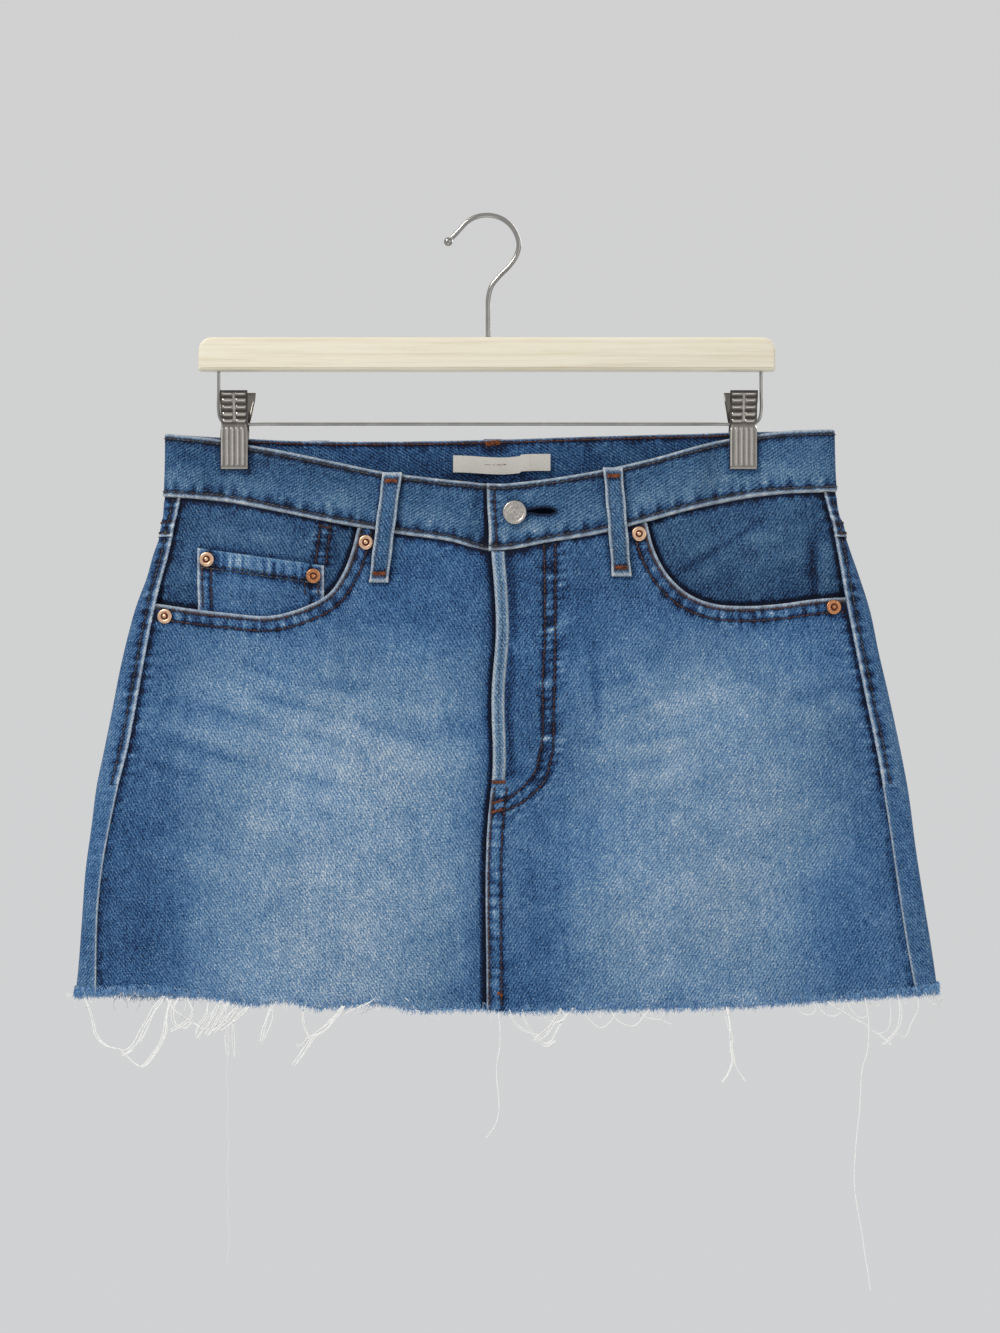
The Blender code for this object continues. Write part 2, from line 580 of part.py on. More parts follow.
def wire(name, pts, dia, mat, count, res=2):
    """A round wire on a smooth curve through (x, y, z) points, with filled ends."""
    length = [0.0]
    for a, b in zip(pts, pts[1:]):
        length.append(length[-1] + math.dist(a, b))
    fx, fy, fz = (curve([(s, p[k]) for s, p in zip(length, pts)]) for k in range(3))
    cu = bpy.data.curves.new(name, "CURVE")
    cu.dimensions = "3D"
    cu.bevel_depth = dia / 2 * MM
    cu.bevel_resolution = res
    cu.use_fill_caps = True
    sp = cu.splines.new("POLY")
    sp.points.add(count)
    for k in range(count + 1):
        s = length[-1] * k / count
        sp.points[k].co = (fx(s) * MM, fy(s) * MM, fz(s) * MM, 1.0)
    cu.materials.append(mat)
    ob = bpy.data.objects.new(name, cu)
    bpy.context.scene.collection.objects.link(ob)
    return ob


HOOK = [(-22.4, -12.6), (-18.0, -8.0), (-13.2, -2.9), (-7.7, 0.3), (-0.6, 1.5), (6.5, 0.2), (13.0, -3.9),
        (17.3, -10.2), (18.9, -16.8), (17.3, -23.5), (13.0, -29.9), (6.8, -36.2), (2.0, -42.4), (0.2, -49.0),
        (0.0, -58.0), (0.0, BAR_Z[1] + GAP)]
wire("hook_wire", [(x, 0.0, z) for x, z in HOOK], HOOK_D, STEEL, 44)
bm = bmesh.new()
bmesh.ops.create_uvsphere(bm, u_segments=14, v_segments=10, radius=2.7 * MM)
bmesh.ops.translate(bm, vec=Vector((-24.55, 0.0, -14.85)) * MM, verts=bm.verts)
add("hook_tip", bm, STEEL, rounded=True)

ux = (-165.7, 167.8)
uw = [(ux[0], BAR_Z[0] - GAP), (ux[0], -108.0), (ux[0], -121.0), (ux[0] + 1.7, -125.2), (ux[0] + 6.0, WIRE_Z),
      (ux[0] + 30.0, WIRE_Z), (0.0, WIRE_Z), (ux[1] - 30.0, WIRE_Z), (ux[1] - 6.0, WIRE_Z),
      (ux[1] - 1.7, -125.2), (ux[1], -121.0), (ux[1], -108.0), (ux[1], BAR_Z[0] - GAP)]
cu = bpy.data.curves.new("clip_wire", "CURVE")
cu.dimensions = "3D"
cu.bevel_depth, cu.bevel_resolution, cu.use_fill_caps = UWIRE_D / 2 * MM, 2, True
sp = cu.splines.new("POLY")
sp.points.add(len(uw) - 1)
for k, (x, z) in enumerate(uw):
    sp.points[k].co = (x * MM, 0.0, z * MM, 1.0)
cu.materials.append(STEEL)
bpy.context.scene.collection.objects.link(bpy.data.objects.new("clip_wire", cu))

# clip jaws: two bent plates that pinch the waistband, round a spring barrel on the wire
PLATE = 1.2
JAW_IN = PINCH + BAND_OUT + GAP + 0.15
JAW = [(0.0, CLIP_LOW), (0.0, -141.0), (0.4, -133.5), (0.4, WIRE_Z), (0.5, -121.5), (3.4, -113.0), (5.2, CLIP_TOP)]
for cx, tag in zip(CLIP_X, ("left", "right")):
    for sign, side in ((-1, "front"), (1, "back")):
        bm = bmesh.new()
        rows = []
        for y, z in JAW:
            row = []
            for x, dy in ((-CLIP_W / 2, 0), (CLIP_W / 2, 0), (CLIP_W / 2, PLATE), (-CLIP_W / 2, PLATE)):
                row.append(bm.verts.new(((cx + x) * MM, sign * (JAW_IN + y + dy) * MM, z * MM)))
            rows.append(row)
        for a, b in zip(rows, rows[1:]):
            for k in range(4):
                m = (k + 1) % 4
                bm.faces.new((a[k], a[m], b[m], b[k]))
        bm.faces.new(rows[0])
        bm.faces.new(rows[-1])
        add(f"clip_{tag}_{side}_jaw", bm, STEEL)
    # spring barrel with a bore for the wire
    bx = cx + (2.6 if tag == "left" else -2.6)
    bm = bmesh.new()
    seg, rings = 16, []
    for dx, rad in ((-5.0, 1.5), (-5.0, 3.4), (5.0, 3.4), (5.0, 1.5)):
        rings.append([bm.verts.new(((bx + dx) * MM, rad * math.cos(2 * math.pi * k / seg) * MM,
                                    (WIRE_Z + rad * math.sin(2 * math.pi * k / seg)) * MM)) for k in range(seg)])
    for a in range(4):
        b = (a + 1) % 4
        for k in range(seg):
            m = (k + 1) % seg
            bm.faces.new((rings[a][k], rings[a][m], rings[b][m], rings[b][k]))
    add(f"clip_{tag}_spring", bm, STEEL, rounded=True)


# ---- two loose threads, which hang from the hem in front of the fringe ---------------------------
def hang(points):
    line = []
    for x, z in points:
        zz = max(z, -482.0)
        base = at(q_front(x, zz), zz, 1.0)
        line.append((x, base.y, z))
    return line


wire("thread_centre", hang(THREAD_C), THREAD_D, THREAD, 26)
wire("thread_right", hang(THREAD_R), THREAD_D, THREAD, 46)
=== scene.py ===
# Denim mini skirt on a clip hanger: looks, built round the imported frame. Lengths in this file are in
# millimetres until they are written to a mesh. The cloth follows the same ring surface as the frame.
import math
import bmesh
import bpy
import numpy as np
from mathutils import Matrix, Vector


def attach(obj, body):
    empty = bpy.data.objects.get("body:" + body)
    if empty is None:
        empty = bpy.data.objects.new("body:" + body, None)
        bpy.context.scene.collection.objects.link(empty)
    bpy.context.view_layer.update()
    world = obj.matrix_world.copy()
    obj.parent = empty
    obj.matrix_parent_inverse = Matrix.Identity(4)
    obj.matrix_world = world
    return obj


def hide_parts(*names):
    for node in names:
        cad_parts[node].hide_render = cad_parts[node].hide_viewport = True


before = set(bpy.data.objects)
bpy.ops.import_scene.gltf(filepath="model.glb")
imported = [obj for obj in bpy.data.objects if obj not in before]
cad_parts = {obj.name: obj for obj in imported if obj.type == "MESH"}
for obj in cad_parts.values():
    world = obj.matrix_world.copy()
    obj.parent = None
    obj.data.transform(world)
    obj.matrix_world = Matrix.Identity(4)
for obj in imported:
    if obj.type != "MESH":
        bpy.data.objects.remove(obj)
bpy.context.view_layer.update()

MM = 0.001
rng = np.random.default_rng(20)
scene = bpy.context.scene
scene.view_settings.view_transform = "Standard"

# ------------------------------------------------------------------ camera, first
cam_data = bpy.data.cameras.new("camera")
cam = bpy.data.objects.new("camera", cam_data)
scene.collection.objects.link(cam)
CAM_DIST = 1.80
cam.location = (0.0073, -0.015 - CAM_DIST, -0.2761)
cam.rotation_euler = (math.radians(90), 0, 0)
cam_data.sensor_width = 36.0
cam_data.sensor_fit = "AUTO"
cam_data.lens = 36.0 * CAM_DIST / 0.8131
cam_data.clip_end = 50
scene.camera = cam

# ------------------------------------------------------------------ sizes, as in the frame
CLOTH = 1.4
BAND_OUT, BAND_IN = 0.6, -2.4
GAP = 0.3
FOLD_POWER = 0.65
PINCH = 2.6
CLIP_X = (-155.8, 156.7)
CLIP_W = 17.0
CLIP_TOP, CLIP_LOW, WIRE_Z = -107.0, -155.0, -127.0
BAR_X, BAR_Z, BAR_D = (-177.7, 176.3), (-94.6, -74.0), 12.0
UNDERLAP = 3.3
YOKE_SIDE, YOKE_BACK = -196.5, -236.0
Z_BAND = -152.0

OUT_L = [(-120, -198.0), (-133, -198.3), (-172, -199.2), (-187, -200.3), (-198, -202.6), (-207, -205.7),
         (-221, -209.6), (-238, -215.9), (-260, -222.0), (-277, -225.9), (-303, -230.9), (-328, -235.9),
         (-348, -240.1), (-375, -243.6), (-401, -247.1), (-430, -249.2), (-465, -251.9), (-477, -253.2)]
OUT_R = [(-120, 211.8), (-131, 212.3), (-170, 214.1), (-180, 215.3), (-191, 218.4), (-202, 221.6),
         (-219, 227.5), (-240, 234.2), (-269, 240.3), (-290, 245.2), (-318, 251.3), (-353, 258.0),
         (-386, 262.3), (-422, 267.8), (-448, 272.0), (-470, 275.2)]
SEAM_L = [(-165, -187.4), (-175, -188.9), (-190, -192.0), (-207, -195.6), (-227, -201.0), (-246, -205.2),
          (-269, -209.6), (-302, -215.5), (-328, -220.6), (-349, -226.0), (-373, -231.2), (-395, -235.2),
          (-423, -238.4), (-458, -239.4), (-477, -239.4)]
SEAM_R = [(-165, 204.6), (-175, 207.2), (-187, 210.4), (-211, 215.0), (-233, 218.6), (-259, 223.6),
          (-294, 230.6), (-326, 237.2), (-351, 241.6), (-379, 246.0), (-418, 251.6), (-451, 256.8),
          (-476, 261.6)]
BAND_TOP_F = [(-198.3, -133.0), (-187.9, -134.2), (-164.7, -136.7), (-147.0, -139.9), (-113.5, -146.7),
              (-88.5, -152.0), (-63.4, -157.2), (-38.4, -160.4), (-14.0, -163.0), (9.2, -164.4),
              (24.8, -162.9), (71.4, -155.5), (103.1, -148.2), (129.3, -140.8), (147.6, -136.2),
              (164.7, -133.5), (182.2, -131.8), (212.3, -130.5)]
BAND_LOW_F = [(-199.2, -171.9), (-158.2, -175.4), (-127.1, -181.6), (-96.0, -188.0), (-68.0, -192.9),
              (-54.6, -195.2), (-22.0, -200.0), (0.0, -205.6), (14.0, -204.8), (34.1, -200.9),
              (71.4, -194.3), (87.0, -190.4), (129.3, -179.0), (161.7, -172.2), (203.7, -169.3),
              (214.3, -168.8)]
BAND_TOP_B = [(-198.3, -133.0), (-147.0, -136.0), (-84.0, -137.3), (3.0, -136.1), (68.0, -134.0),
              (146.0, -132.2), (212.3, -130.5)]
BAND_LOW_B = [(-199.2, -171.9), (-100.0, -175.5), (0.0, -176.5), (100.0, -173.5), (214.3, -168.8)]
POCKET_L = [(-203.0, -237.6), (-180.0, -241.0), (-158.2, -243.5), (-131.8, -245.0), (-111.6, -239.5),
            (-97.6, -231.9), (-88.5, -219.0), (-83.4, -206.0), (-79.7, -191.4)]
POCKET_R = [(219.0, -233.7), (200.6, -234.9), (177.3, -238.0), (153.7, -239.2), (138.3, -238.0),
            (122.6, -231.9), (110.4, -220.9), (101.7, -205.3), (97.0, -188.2)]
FLY_X = [(-200, 1.6), (-207, 2.2), (-254, 5.0), (-291, 2.4), (-344, 2.6), (-360, 0.8), (-483, -0.9)]
HEM_F = [(-253.5, -476.3), (-185.4, -476.8), (-99.7, -481.0), (-0.6, -484.0), (89.7, -484.0),
         (192.0, -480.4), (276.0, -474.0)]
HEM_B = [(-253.5, -476.5), (-180.0, -479.0), (-90.0, -482.0), (0.0, -484.0), (100.0, -482.5),
         (200.0, -478.0), (276.0, -474.0)]
# the raw edge wanders up and down about the hem: (x, lift)
HEM_WANDER = [(-250, 0.0), (-240, 0.6), (-213, 2.2), (-185, 0.8), (-158, -1.2), (-145, -2.6), (-126, 0.6),
              (-100, -2.2), (-86, -0.4), (-66, 2.6), (-46, -1.4), (-20, -0.6), (0, -0.4), (12, -1.4),
              (43, -0.7), (90, 0.2), (138, 0.1), (192, 0.4), (235, 0.2), (262, -0.3), (276, 0)]
Y_MID = [(-120, 0.0), (-172, 0.0), (-300, -1.6), (-480, -3.0)]
Y_FRONT = [(-120, -12.4), (-172, -13.2), (-240, -16.8), (-350, -20.2), (-480, -22.0)]
Y_BACK = [(-120, 7.2), (-172, 8.4), (-240, 10.6), (-350, 13.0), (-480, 14.6)]
THREAD_C = [(6.3, -485.9), (7.4, -498), (7.0, -508), (5.4, -517), (5.2, -526), (6.4, -536), (6.6, -546),
            (4.6, -554), (1.4, -559), (-1.0, -562)]
THREAD_R = [(230.0, -478.4), (231.6, -489), (232.0, -500), (231.0, -511), (228.0, -521), (227.0, -534),
            (226.2, -548), (224.6, -562), (223.4, -577), (223.2, -592), (225.0, -606), (227.6, -620),
            (229.6, -634), (231.6, -646), (233.0, -656)]
J_OUT = [(41.1, -200.0), (41.0, -230), (40.9, -260), (40.0, -300), (38.3, -332.5), (34.1, -346), (25.5, -355),
         (14.5, -362.0), (2.0, -365.2)]
J_IN = [(34.1, -200.0), (34.6, -230), (34.6, -260), (33.4, -280), (31.3, -330), (28.0, -341), (20.5, -350),
        (11.6, -356.4), (2.0, -359.2)]


class Curve:
    """A smooth curve through (key, value) pairs, straight beyond both ends."""

    def __init__(self, points):
        pts = sorted(points)
        x = self.x = np.array([p[0] for p in pts], float)
        y = self.y = np.array([p[1] for p in pts], float)
        s = np.diff(y) / np.diff(x)
        t = np.empty_like(y)
        t[0], t[-1] = s[0], s[-1]
        h = np.diff(x)
        t[1:-1] = (s[:-1] * h[1:] + s[1:] * h[:-1]) / (h[:-1] + h[1:])
        self.t = t

    def __call__(self, v):
        v = np.asarray(v, float)
        x, y, t = self.x, self.y, self.t
        i = np.clip(np.searchsorted(x, v, side="right") - 1, 0, len(x) - 2)
        h = x[i + 1] - x[i]
        u = np.clip((v - x[i]) / h, 0, 1)
        u2, u3 = u * u, u * u * u
        out = ((2 * u3 - 3 * u2 + 1) * y[i] + (u3 - 2 * u2 + u) * h * t[i]
               + (-2 * u3 + 3 * u2) * y[i + 1] + (u3 - u2) * h * t[i + 1])
        out = np.where(v < x[0], y[0] + t[0] * (v - x[0]), out)
        return np.where(v > x[-1], y[-1] + t[-1] * (v - x[-1]), out)


out_l, out_r, seam_l, seam_r = Curve(OUT_L), Curve(OUT_R), Curve(SEAM_L), Curve(SEAM_R)
band_top_f, band_low_f = Curve(BAND_TOP_F), Curve(BAND_LOW_F)
band_top_b, band_low_b = Curve(BAND_TOP_B), Curve(BAND_LOW_B)
fly_x, hem_f, hem_b, wander = Curve(FLY_X), Curve(HEM_F), Curve(HEM_B), Curve(HEM_WANDER)
y_mid, y_front, y_back = Curve(Y_MID), Curve(Y_FRONT), Curve(Y_BACK)
j_out_x = Curve([(z, x) for x, z in J_OUT])
j_in_x = Curve([(z, x) for x, z in J_IN])


def smooth(a, b, v):
    t = np.clip((np.asarray(v, float) - a) / (b - a), 0, 1)
    return t * t * (3 - 2 * t)


def gauss(v, centre, width):
    return np.exp(-((np.asarray(v, float) - centre) / width) ** 2)


def surface(q, z):
    q, z = np.broadcast_arrays(np.asarray(q, float), np.asarray(z, float))
    xl, xr = out_l(z), out_r(z)
    xc, a = (xl + xr) / 2, (xr - xl) / 2
    s, c = np.sin(q * math.pi / 2), np.cos(q * math.pi / 2)
    x = xc + a * s
    mid = y_mid(z)
    ac = np.abs(c)
    k = ac ** FOLD_POWER
    low = 1 - smooth(-460, -215, z)
    hf = (mid - y_front(z)) * k + low * np.sqrt(ac) * (
        4.0 * gauss(x, 118, 62) + 3.4 * gauss(x, -72, 64) - 3.0 * gauss(x, 44, 26))
    hb = (y_back(z) - mid) * k + low * np.sqrt(ac) * (
        3.0 * gauss(x, 95, 60) + 3.2 * gauss(x, -120, 58) - 2.0 * gauss(x, -10, 30))
    h = np.where(c >= 0, hf, hb)
    d = np.minimum(np.abs(x - CLIP_X[0]), np.abs(x - CLIP_X[1]))
    p = (1 - smooth(11.0, 32.0, d)) * smooth(-188.0, -162.0, z)
    h = np.where(h > PINCH, h + (PINCH - h) * p, h)
    return np.stack([x, mid + np.where(c >= 0, -h, h), z * np.ones_like(x)], -1)


def normal(q, z):
    e = 0.004
    dq = surface(q + e, z) - surface(q - e, z)
    dz = surface(q, z + 1.0) - surface(q, z - 1.0)
    n = np.cross(dq, dz)
    return n / np.linalg.norm(n, axis=-1, keepdims=True)


def at(q, z, d=0.0):
    return surface(q, z) + normal(q, z) * np.asarray(d, float)[..., None]


def q_front(x, z):
    xl, xr = out_l(z), out_r(z)
    return np.arcsin(np.clip((x - (xl + xr) / 2) / ((xr - xl) / 2), -1, 1)) * 2 / math.pi


def q_back(x, z):
    return 2.0 - q_front(x, z)


def dense(points, step=1.0):
    """A smooth (x, z) line through control points, as points every step."""
    p = np.array(points, float)
    s = np.r_[0, np.cumsum(np.hypot(*np.diff(p, axis=0).T))]
    cx, cz = Curve(list(zip(s, p[:, 0]))), Curve(list(zip(s, p[:, 1])))
    t = np.linspace(0, s[-1], max(2, int(s[-1] / step) + 1))
    return np.stack([cx(t), cz(t)], -1)


def line_distance(x, z, line):
    """Distance from points to a dense line."""
    x, z = np.broadcast_arrays(np.asarray(x, float), np.asarray(z, float))
    best = np.full(x.shape, 1e9)
    for (x0, z0), (x1, z1) in zip(line[:-1:2], line[2::2]):
        dx, dz = x1 - x0, z1 - z0
        t = np.clip(((x - x0) * dx + (z - z0) * dz) / (dx * dx + dz * dz), 0, 1)
        best = np.minimum(best, np.hypot(x - x0 - t * dx, z - z0 - t * dz))
    return best


def line_place(x, z, line):
    """Arc length along a dense line of the nearest place to each point."""
    x, z = np.broadcast_arrays(np.asarray(x, float), np.asarray(z, float))
    s = np.r_[0, np.cumsum(np.hypot(*np.diff(line, axis=0).T))]
    best, where = np.full(x.shape, 1e9), np.zeros(x.shape)
    for k in range(0, len(line), 2):
        d = np.hypot(x - line[k, 0], z - line[k, 1])
        # the tangent part of the step gives a smooth place between the samples
        j = min(k + 1, len(line) - 1) if k == 0 else k
        i = j - 1
        tx, tz = line[j] - line[i]
        n = math.hypot(tx, tz)
        along = ((x - line[k, 0]) * tx + (z - line[k, 1]) * tz) / n
        near = d < best
        best = np.where(near, d, best)
        where = np.where(near, s[k] + along, where)
    return where


def pucker(s, d, width=5.0, pitch=7.0, seed=0.0):
    """-1 to 1: the pale and dark bars across a sewn edge that has shrunk along its thread."""
    w = np.sin(2 * math.pi * s / pitch + 1.6 * np.sin(s / 13.0 + seed) + seed)
    w = w + 0.6 * np.sin(2 * math.pi * s / (pitch * 0.57) + 2.0 + seed) + 0.35 * np.sin(s / 6.1 + seed)
    return w / 1.5 * np.exp(-(np.asarray(d) / width) ** 4)


mouth_l = dense(POCKET_L, 2.0)
mouth_r = dense(POCKET_R, 2.0)
j_line = dense(J_OUT, 2.0)

# ------------------------------------------------------------------ creases, fading and painted shade, placed one by one
# soft ridges across the lap: x0, z0, x1, z1, half width, height
WHISKERS = [(-30, -285, -140, -262, 5.0, 0.50), (-40, -306, -165, -278, 5.0, 0.60), (-45, -328, -187, -290, 5.0, 0.70),
            (-60, -346, -197, -311, 5.5, 0.75), (-70, -364, -205, -330, 5.5, 0.70), (-60, -388, -205, -350, 7.0, 0.60),
            (-60, -410, -205, -388, 9.0, 0.50),
            (48, -276, 150, -256, 5.0, 0.50), (46, -297, 170, -276, 5.5, 0.65), (50, -313, 200, -284, 5.5, 0.70),
            (60, -331, 214, -303, 6.0, 0.75), (56, -350, 206, -334, 6.5, 0.70), (50, -378, 190, -368, 7.0, 0.55),
            (70, -402, 214, -402, 9.0, 0.50), (64.7, -262, 66, -308, 2.6, -0.5), (24, -368, 70, -346, 4.0, 0.5)]
BACK_FOLDS = [(30, -262, 150, -246, 6.0, 0.6), (20, -420, 190, -404, 8.0, 0.8), (-30, -258, -160, -247, 6.0, 0.6),
              (-24, -424, -190, -414, 8.0, 0.8), (60, -444, 230, -424, 9.0, 0.9), (-60, -450, -215, -436, 9.0, 0.8),
              (196, -300, 232, -286, 5.0, 0.7), (-188, -316, -226, -298, 5.0, 0.7)]


def ridge(x, z, folds):
    total = np.zeros(np.broadcast(x, z).shape)
    for x0, z0, x1, z1, w, h in folds:
        dx, dz = x1 - x0, z1 - z0
        length = math.hypot(dx, dz)
        t = ((x - x0) * dx + (z - z0) * dz) / length / length
        bend = 5.0 * np.sin(np.clip(t, 0, 1) * math.pi) * (0.4 if abs(x1 - x0) > 20 else 0.0)
        across = ((x - x0) * dz - (z - z0) * dx) / length + bend
        total = total + h * np.exp(-(across / w) ** 2) * smooth(-0.12, 0.12, t) * (1 - smooth(0.7, 1.15, t))
    return total


def hem_flute(x, z, hem):
    """The last centimetres above the raw edge curl a little."""
    up = z - hem
    return (1 - smooth(0, 26, up)) * (0.9 * np.sin(x / 11.0 + 0.6) + 0.7 * np.sin(x / 5.3 + 1.9)
                                      + 0.5 * np.sin(x / 23.0))


def rope(s, d, width=5.0, pitch=9.0, height=0.28):
    """Puckers along a sewn line: s along it, d away from it."""
    wave = np.sin(2 * math.pi * s / pitch + 1.3 * np.sin(s / 17.0)) + 0.5 * np.sin(2 * math.pi * s / (pitch * 0.61) + 2.0)
    return height * wave * np.exp(-(np.asarray(d) / width) ** 2)


RIVET_PLACES = [(-74.5, -200.4), (92.2, -195.2), (-197.6, -245.5), (211.3, -239.8), (-171.8, -210.8), (-106.5, -220.9)]
# dark and pale streaks of the wash, save the first, a dark line down the soft crease right of the fly, which is painted
# shade: x0, z0, x1, z1, half width, amount
STREAKS = [(64.7, -258, 66.5, -312, 2.4, -0.16), (14, -262, 17, -268, 1.2, 0.3), (4, -344, 26, -338, 3.0, -0.16),
           (26, -344, 30, -352, 4.0, -0.14), (10.5, -208, 30, -206, 2.4, -0.18), (11, -274, 15, -342, 3.4, -0.10),
           # the left lap: short dark lines that run down to the right
           (-150, -273, -124, -284, 2.6, -0.13), (-104, -286.6, -76, -289.6, 3.0, -0.11), (-142, -294, -100, -302.4, 2.6, -0.12),
           (-176, -300, -134, -311, 3.2, -0.12), (-80, -308.6, -36, -321.6, 3.0, -0.11), (-112, -316.4, -81, -325.4, 2.4, -0.09),
           (-195, -322, -143, -336, 3.2, -0.12), (-208, -334, -172, -344.6, 3.0, -0.12), (-124, -343, -89, -348.2, 2.6, -0.08),
           (-112, -358.4, -93, -367.4, 2.4, -0.08), (-26, -309, -10, -319, 8.0, -0.09), (-172, -285, -140, -292, 3.0, 0.06),
           (-200, -312, -160, -320, 3.0, 0.06), (-70, -330, -30, -340, 5.0, 0.05), (-60, -300, -30, -306, 4.0, 0.05),
           # the right lap: they run up to the right
           (62, -289, 90, -284.4, 2.6, -0.11), (76, -305, 102, -297, 3.0, -0.10), (80, -322, 128, -315, 3.0, -0.10),
           (183, -296, 222, -288.2, 2.6, -0.12), (85, -336.6, 112, -333.4, 3.0, -0.07), (64, -356, 66, -420, 7.0, -0.06),
           (158, -284, 178, -294, 3.0, -0.06), (130, -344, 190, -334, 4.0, -0.05), (66, -333, 74, -331, 5.0, 0.08),
           (118, -360, 108, -378, 2.0, 0.10), (100, -300, 160, -290, 5.0, 0.05),
           (-236, -440, -180, -440, 26.0, -0.05), (20, -420, 52, -420, 26.0, -0.05)]


def streaks(x, z, table):
    total = np.zeros(np.broadcast(x, z).shape)
    for x0, z0, x1, z1, w, h in table:
        dx, dz = x1 - x0, z1 - z0
        length = math.hypot(dx, dz)
        t = ((x - x0) * dx + (z - z0) * dz) / length / length
        across = ((x - x0) * dz - (z - z0) * dx) / length
        total = total + h * np.exp(-(across / w) ** 2) * smooth(-0.1, 0.15, t) * (1 - smooth(0.8, 1.1, t))
    return total


def rivet_shade_discs(x, z):
    """Painted shade: dark discs on the cloth round the rivets."""
    total = np.zeros(np.broadcast(x, z).shape)
    for px, pz in RIVET_PLACES:
        total = total + np.exp(-(np.hypot(x - px, z - pz) / 6.4) ** 6)
    return total


LOOP_LINES = [((-58.4, -157.6), (-66.7, -225.0), False), ((76.1, -154.6), (81.5, -221.2), False),
              ((-104.0, -136.6), (-106.0, -203.0), True), ((110.0, -132.8), (112.0, -200.0), True),
              ((3.0, -135.6), (3.0, -202.0), True)]


def loop_shade(x, z, back):
    """Painted shadow: dark strips on the cloth beside the belt loops."""
    total = np.zeros(np.broadcast(x, z).shape)
    for (x0, z0), (x1, z1), where in LOOP_LINES:
        if where == back:
            t = (z - z0) / (z1 - z0)
            d = np.abs(x - x0 - (x1 - x0) * t)
            total = total + np.exp(-(d / 7.6) ** 8) * smooth(0.0, 0.04, t) * (1 - smooth(0.98, 1.03, t))
    return total


def flat_top(v, centre, half):
    return np.exp(-((np.asarray(v) - centre) / half) ** 4)


def blend_two(a, b, most):
    """The two amounts together, but never much more than the larger one."""
    return a + b - a * b / most


# front tone of the cloth: the wash, with painted shade added round the rivets and beside the belt loops
def front_wash_and_shade(x, z):
    f = 0.350 + 0.0 * x
    lean = 0.10 * (z + 350)
    f = f + blend_two(0.255 * flat_top(x + lean, -86, 92) * flat_top(z, -352, 92), 0.29 * flat_top(x, -102, 80) * flat_top(z, -474, 80), 0.31)
    f = f + blend_two(0.255 * flat_top(x - lean, 132, 82) * flat_top(z, -345, 86), 0.26 * flat_top(x, 122, 76) * flat_top(z, -446, 92), 0.29)
    f = f + 0.045 * gauss(x, -78, 48) * gauss(z, -330, 46) + 0.045 * gauss(x, -110, 50) * gauss(z, -440, 44)
    f = f + 0.05 * gauss(x, 124, 42) * gauss(z, -312, 30) + 0.03 * gauss(x, 118, 44) * gauss(z, -400, 50)
    f = f + 0.06 * gauss(x, -168, 40) * gauss(z, -300, 34) + 0.05 * gauss(x, -92, 70) * gauss(z, -362, 46)
    f = f - 0.025 * gauss(x, 60, 40) * gauss(z, -360, 70) + 0.03 * gauss(x, 230, 26) * gauss(z, -420, 60)
    f = f - 0.03 * gauss(x, -222, 26) * (1 - smooth(-330, -280, z)) - 0.02 * gauss(x, -215, 30)
    f = f + 0.03 * gauss(x, 250, 20) - 0.02 * gauss(x, 40, 34) * (1 - smooth(-400, -350, z))
    f = f - 0.03 * gauss(x, -50, 70) * gauss(z, -225, 30) - 0.03 * gauss(x, 60, 60) * gauss(z, -225, 36)
    # the dark discs round the rivets and the strips beside the belt loops are painted shade
    f = f + 0.06 * ridge(x, z, WHISKERS[:14]) + streaks(x, z, STREAKS) - 0.16 * rivet_shade_discs(x, z)
    return f - 0.22 * loop_shade(x, z, False)


def fade_back(x, z):
    f = 0.37 + 0.26 * gauss(x, 105, 62) * gauss(z, -330, 76) + 0.26 * gauss(x, -95, 62) * gauss(z, -330, 76)
    f = f - 0.06 * gauss(x, 8, 24) - 0.06 * gauss(np.abs(x - 8), 226, 28) + 0.10 * gauss(z, -445, 40)
    return f + 0.12 * ridge(x, z, BACK_FOLDS)


# ------------------------------------------------------------------ node helpers and materials
def srgb(r, g, b):
    return tuple((c / 255 / 12.92) if c / 255 <= 0.04045 else ((c / 255 + 0.055) / 1.055) ** 2.4 for c in (r, g, b)) + (1.0,)


